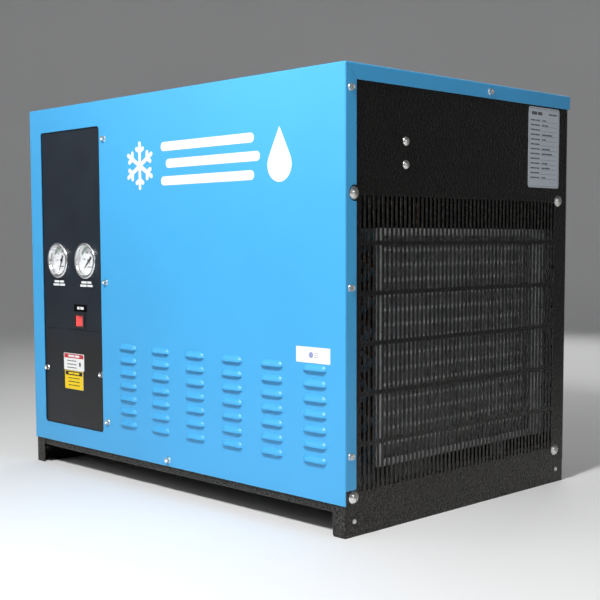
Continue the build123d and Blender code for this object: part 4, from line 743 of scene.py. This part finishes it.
def data_plate_print():
    """Rows of bars and ruled boxes on the side's data plate."""
    low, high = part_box("nameplate")
    face = facing((high.x, (low.y + high.y) / 2, (low.z + high.z) / 2), RIGHT)
    width, height = high.y - low.y, high.z - low.z
    bm = bmesh.new()
    top = height / 2
    title_y, first_row_y = top - 0.0095, top - 0.020
    rows, row_pitch, letter_height = 13, 0.0072, 0.0020
    entry_x = -0.006                        # left end of the right-hand column
    bars(bm, face, -0.034, entry_x, title_y, 0.0048, (5, 4), SKIM, INK)
    bars(bm, face, 0.012, 0.034, title_y, 0.0022, (3, 4), SKIM, INK)
    for row in range(rows):
        y = first_row_y - row * row_pitch
        words = (3, 4) if row % 2 else (5, 2, 3)
        bars(bm, face, -0.036, -0.012, y, letter_height, words, SKIM, INK)
        line = rounded_box(0.0125, y - 0.0016, 0.044, 0.0004, 0.0001, 1)
        add_prism(bm, line, face, SKIM, INK)
        if row % 3 != 2:
            end = 0.004 + 0.006 * (row % 4)
            bars(bm, face, entry_x, end, y + 0.0003, letter_height, (2, 3), SKIM, INK)
    inset, line_width = 0.002, 0.0004
    border_outer = rounded_box(0, 0, width - 2 * inset, height - 2 * inset, 0.003, 4)
    inset += line_width
    border_inner = rounded_box(0, 0, width - 2 * inset, height - 2 * inset, 0.003 - line_width, 4)
    add_ring_prism(bm, border_outer, border_inner, face, SKIM, INK)
    piece = add_piece("data_plate_print", bm, GREY_PRINT)


# ================================================================ gauges

def gauge_faces():
    """Surface matrices at the centre of the suction gauge and the discharge gauge."""
    low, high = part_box("gauge_dials")
    z = (low.z + high.z) / 2
    return [facing((x, PLATE_FACE, z), FRONT) for x in (low.x + DIAL_RADIUS, high.x - DIAL_RADIUS)]


def gauge_bezels():
    """Turned rings: a rolled rim, a step and a deep inner wall."""
    rim = 0.0022
    profile = [(RING_OUTER - 0.0004, 0.0)]
    profile += arc(RING_OUTER - rim, rim, rim, 0, 90, 8)
    profile += arc(RING_OUTER - 0.0036, 0.0030, 0.0014, 90, 170, 6)
    profile += [(0.0250, 0.0018)]
    profile += arc(0.0244, 0.0020, 0.0007, 20, 160, 5)
    profile += [(RING_INNER, 0.0016), (RING_INNER, RING_FOOT)]
    profile += [(RING_WALL, RING_FOOT), (RING_WALL, 0.0)]
    bm = bmesh.new()
    for face in gauge_faces():
        add_lathe(bm, profile, face, 128)
    piece = add_piece("gauge_rings", bm, RING_CHROME, smooth_angle=35)
    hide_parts("gauge_bezels")


def radial_bar(bm, face, angle, r0, r1, width, base, top):
    """Straight bar along a radius."""
    a = math.radians(angle)
    along = Vector((math.cos(a), math.sin(a)))
    across = Vector((-math.sin(a), math.cos(a))) * width / 2
    corners = [along * r0 - across, along * r1 - across, along * r1 + across, along * r0 + across]
    add_prism(bm, [tuple(c) for c in corners], face, base, top)


def ring_band(bm, face, r0, r1, start, end, base, top):
    """Band along part of a circle, between two angles in degrees."""
    steps = max(2, int(abs(end - start) / 4))
    outer = arc(0, 0, r1, start, end, steps)
    inner = arc(0, 0, r0, end, start, steps)
    add_prism(bm, outer + inner, face, base, top)


def numeral(bm, text, x, y, size, matrix):
    """Adds a number as a thin closed mesh, centred on (x, y)."""
    curve = bpy.data.curves.new("numeral", "FONT")
    curve.body = text
    curve.size = size
    curve.align_x, curve.align_y = "CENTER", "CENTER"
    curve.extrude = 0.00003
    curve.resolution_u = 3
    holder = bpy.data.objects.new("numeral", curve)
    mesh = bpy.data.meshes.new_from_object(holder)
    mesh.transform(matrix @ Matrix.Translation((x, y, 0.00004)))
    bm.from_mesh(mesh)
    bpy.data.meshes.remove(mesh)
    bpy.data.objects.remove(holder)
    bpy.data.curves.remove(curve)


def gauge_prints():
    """Tick marks, numbers and a coloured band on each dial."""
    black, green, red = bmesh.new(), bmesh.new(), bmesh.new()
    number_radius, number_size = 0.0146, 0.0046
    band_inner, band_outer = 0.0216, 0.0226
    for face, numbers in zip(gauge_faces(), SCALES):
        dial = face @ Matrix.Translation((0, 0, -DIAL_DEPTH))
        major = len(numbers) - 1
        minor = major * TICKS_PER_NUMBER
        for tick in range(minor + 1):
            angle = GAUGE_START - GAUGE_SWEEP * tick / minor
            numbered = tick % TICKS_PER_NUMBER == 0
            tick_start, tick_width = (0.0180, 0.0007) if numbered else (0.0195, 0.0004)
            radial_bar(black, dial, angle, tick_start, TICK_END, tick_width, SKIM, INK)
        for index, value in enumerate(numbers):
            a = math.radians(GAUGE_START - GAUGE_SWEEP * index / major)
            x, y = number_radius * math.cos(a), number_radius * math.sin(a)
            numeral(black, str(value), x, y, number_size, dial)
        scale_end = GAUGE_START - GAUGE_SWEEP
        green_start = GAUGE_START - 0.25 * GAUGE_SWEEP
        green_end = scale_end + 0.35 * GAUGE_SWEEP
        red_start = scale_end + 0.18 * GAUGE_SWEEP
        ring_band(green, dial, band_inner, band_outer, green_start, green_end, SKIM, INK)
        ring_band(red, dial, band_inner, band_outer, red_start, scale_end, SKIM, INK)
        bars(black, dial, -0.006, 0.006, -0.0105, 0.0014, (3, 4), SKIM, INK)
    pieces = (("gauge_black_print", black, BLACK_PRINT), ("gauge_green_band", green, GREEN_PRINT),
              ("gauge_red_band", red, RED_PRINT))
    for name, bm, material in pieces:
        add_piece(name, bm, material)


def gauge_hub_caps():
    """A small domed cap on each pointer's hub, turning with it."""
    cap_radius, cap_height = 0.0022, 0.0007
    hub_depth = 0.00398                     # the hub's end behind the panel's face
    for face, body in zip(gauge_faces(), ("suction_needle", "discharge_needle")):
        bm = bmesh.new()
        add_dome(bm, cap_radius, cap_height, face @ Matrix.Translation((0, 0, -hub_depth)))
        piece = add_piece(body + "_cap", bm, SLOT_MATERIALS["pointer_black"], body, smooth_angle=40)


# ================================================================ drain timer's knobs

def knob_marks():
    """White paint in the slot of each timer knob, turning with it, and a ring of ticks round it."""
    slot_middle, slot_width, slot_length = 0.0045, 0.0011, 0.0068
    slot_floor, paint_top = -0.00079, -0.00015      # both under the knob's top
    steps, tick_gap, tick_length, tick_width = 10, 0.0010, 0.0014, 0.0005
    ticks = bmesh.new()
    timer_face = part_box("drain_valve")[1].y
    for knob, body in (("drain_on_knob", "on_time_knob"), ("drain_off_knob", "off_time_knob")):
        low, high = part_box(knob)
        centre, radius = (low + high) / 2, (high.x - low.x) / 2
        face = facing((centre.x, high.y, centre.z), BACK)
        line = bmesh.new()
        slot = rounded_box(0, slot_middle, slot_width, slot_length, 0.0002, 2)
        add_prism(line, slot, face, slot_floor, paint_top)
        pointer = add_piece(body + "_line", line, WHITE_PRINT, body)
        plate = facing((centre.x, timer_face, centre.z), BACK)
        start = radius + tick_gap
        for tick in range(steps + 1):
            angle = GAUGE_START - GAUGE_SWEEP / steps * tick
            radial_bar(ticks, plate, angle, start, start + tick_length, tick_width, 0.00001, 0.00008)
    add_piece("timer_ticks", ticks, WHITE_PRINT)


# ================================================================ condenser fins

def condenser_fins():
    """A dense pack of thin fins in the place of the CAD's coarse ones, with the drawn collars
    round every tube of the outer column."""
    low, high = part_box("condenser_fins")
    count = int((high.y - low.y) / FIN_PITCH)
    bm = bmesh.new()
    side = Matrix.Rotation(math.radians(90), 4, "X")    # outlines of (x, z), heights towards the front
    outline = [(low.x, low.z), (high.x, low.z), (high.x, high.z), (low.x, high.z)]
    for n in range(count):
        place = Matrix.Translation((0, low.y + (n + 0.5) * FIN_PITCH, 0)) @ side
        add_prism(bm, outline, place, -FIN_THICKNESS / 2, FIN_THICKNESS / 2)
    piece = add_piece("fin_pack", bm, SLOT_MATERIALS["fin_aluminium"])
    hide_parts("condenser_fins")
    collars = bmesh.new()
    middle = (low.z + high.z) / 2
    for row in range(COLLAR_ROWS):
        z = middle + (row - (COLLAR_ROWS - 1) / 2) * COLLAR_PITCH
        ring = circle(high.x - COLLAR_INSET, z, COLLAR_RADIUS)
        add_prism(collars, ring, side, -high.y, -low.y)
    sleeves = add_piece("fin_collars", collars, COLLAR_ALUMINIUM, smooth_angle=40)


# ================================================================ stage, lights, camera

def floor():
    """A sheet of paper that lies flat under the dryer and curves up behind it, seen from any side."""
    reach, curve, wall = 3.0, 1.6, 3.5
    rings, segments = 14, 96
    profile = [(reach, 0.0)]
    for i in range(1, rings + 1):
        a = math.radians(90 * i / rings)
        profile.append((reach + curve * math.sin(a), curve * (1 - math.cos(a))))
    profile.append((reach + curve, wall))
    turns = [2 * math.pi * i / segments for i in range(segments)]
    bm = bmesh.new()
    centre = bm.verts.new((0, 0, 0))
    loops = []
    for radius, height in profile:
        places = [(radius * math.cos(t), radius * math.sin(t), height) for t in turns]
        loops.append([bm.verts.new(place) for place in places])
    for i in range(segments):
        j = (i + 1) % segments
        bm.faces.new((centre, loops[0][i], loops[0][j]))
        for low, high in zip(loops, loops[1:]):
            bm.faces.new((low[i], high[i], high[j], low[j]))
    mesh = bpy.data.meshes.new("floor")
    bm.to_mesh(mesh)
    bm.free()
    mesh.polygons.foreach_set("use_smooth", [True] * len(mesh.polygons))
    mesh.materials.append(floor_paper())
    ground = bpy.data.objects.new("floor", mesh)
    ground.location.z = cad_low.z
    bpy.context.scene.collection.objects.link(ground)


def area_light(name, place, target, side, power):
    """Square lamp that faces its target."""
    data = bpy.data.lights.new(name, "AREA")
    data.shape = "RECTANGLE"
    data.size, data.size_y = side, side
    data.energy = power
    lamp = bpy.data.objects.new(name, data)
    lamp.location = place
    lamp.rotation_mode = "QUATERNION"
    lamp.rotation_quaternion = (Vector(target) - Vector(place)).to_track_quat("-Z", "Y")
    bpy.context.scene.collection.objects.link(lamp)


def lights():
    """A small key lamp above the camera's left, wide soft cards round it, and a dim room."""
    world = bpy.data.worlds.new("studio")
    world.use_nodes = True
    shade = world.node_tree.nodes["Background"]
    shade.inputs["Color"].default_value = (0.93, 0.95, 1.0, 1.0)
    shade.inputs["Strength"].default_value = 0.07
    bpy.context.scene.world = world
    centre = (0, 0, 0.3)
    area_light("key", (0.50, -1.25, 1.50), (0.1, -0.2, 0.4), 0.24, 32)
    area_light("left_card", (-1.3, -1.9, 1.35), centre, 1.2, 8)
    area_light("side", (2.4, -0.6, 1.0), centre, 0.5, 5)
    area_light("back", (-1.0, 2.4, 1.3), centre, 1.2, 13)
    area_light("top", (-0.2, 0.4, 2.6), centre, 1.6, 8)


def camera():
    """The photograph's viewpoint: a tall three-quarter view from the front right."""
    yaw, pitch, roll = (math.radians(a) for a in (CAMERA_YAW, CAMERA_PITCH, CAMERA_ROLL))
    level = Vector((-math.sin(yaw), math.cos(yaw), 0))
    forward = level * math.cos(pitch) - UP * math.sin(pitch)
    level_right = Vector((math.cos(yaw), math.sin(yaw), 0))
    level_up = level_right.cross(forward)
    right = level_right * math.cos(roll) + level_up * math.sin(roll)
    up = level_up * math.cos(roll) - level_right * math.sin(roll)
    data = bpy.data.cameras.new("camera")
    data.sensor_width = CAMERA_SENSOR
    data.lens = CAMERA_LENS
    data.shift_x, data.shift_y = CAMERA_SHIFT
    data.clip_start, data.clip_end = 0.05, 50
    eye = bpy.data.objects.new("camera", data)
    rotation = Matrix((right, up, -forward)).transposed().to_4x4()
    eye.matrix_world = Matrix.Translation(CAMERA_PLACE) @ rotation
    bpy.context.scene.collection.objects.link(eye)
    bpy.context.scene.camera = eye


dress_cad_nodes()
emblem()
notice_prints()
strip_prints()
name_tags()
data_plate_print()
gauge_bezels()
gauge_prints()
gauge_hub_caps()
knob_marks()
condenser_fins()
floor()
lights()
camera()
bpy.context.scene.view_settings.view_transform = "Standard"
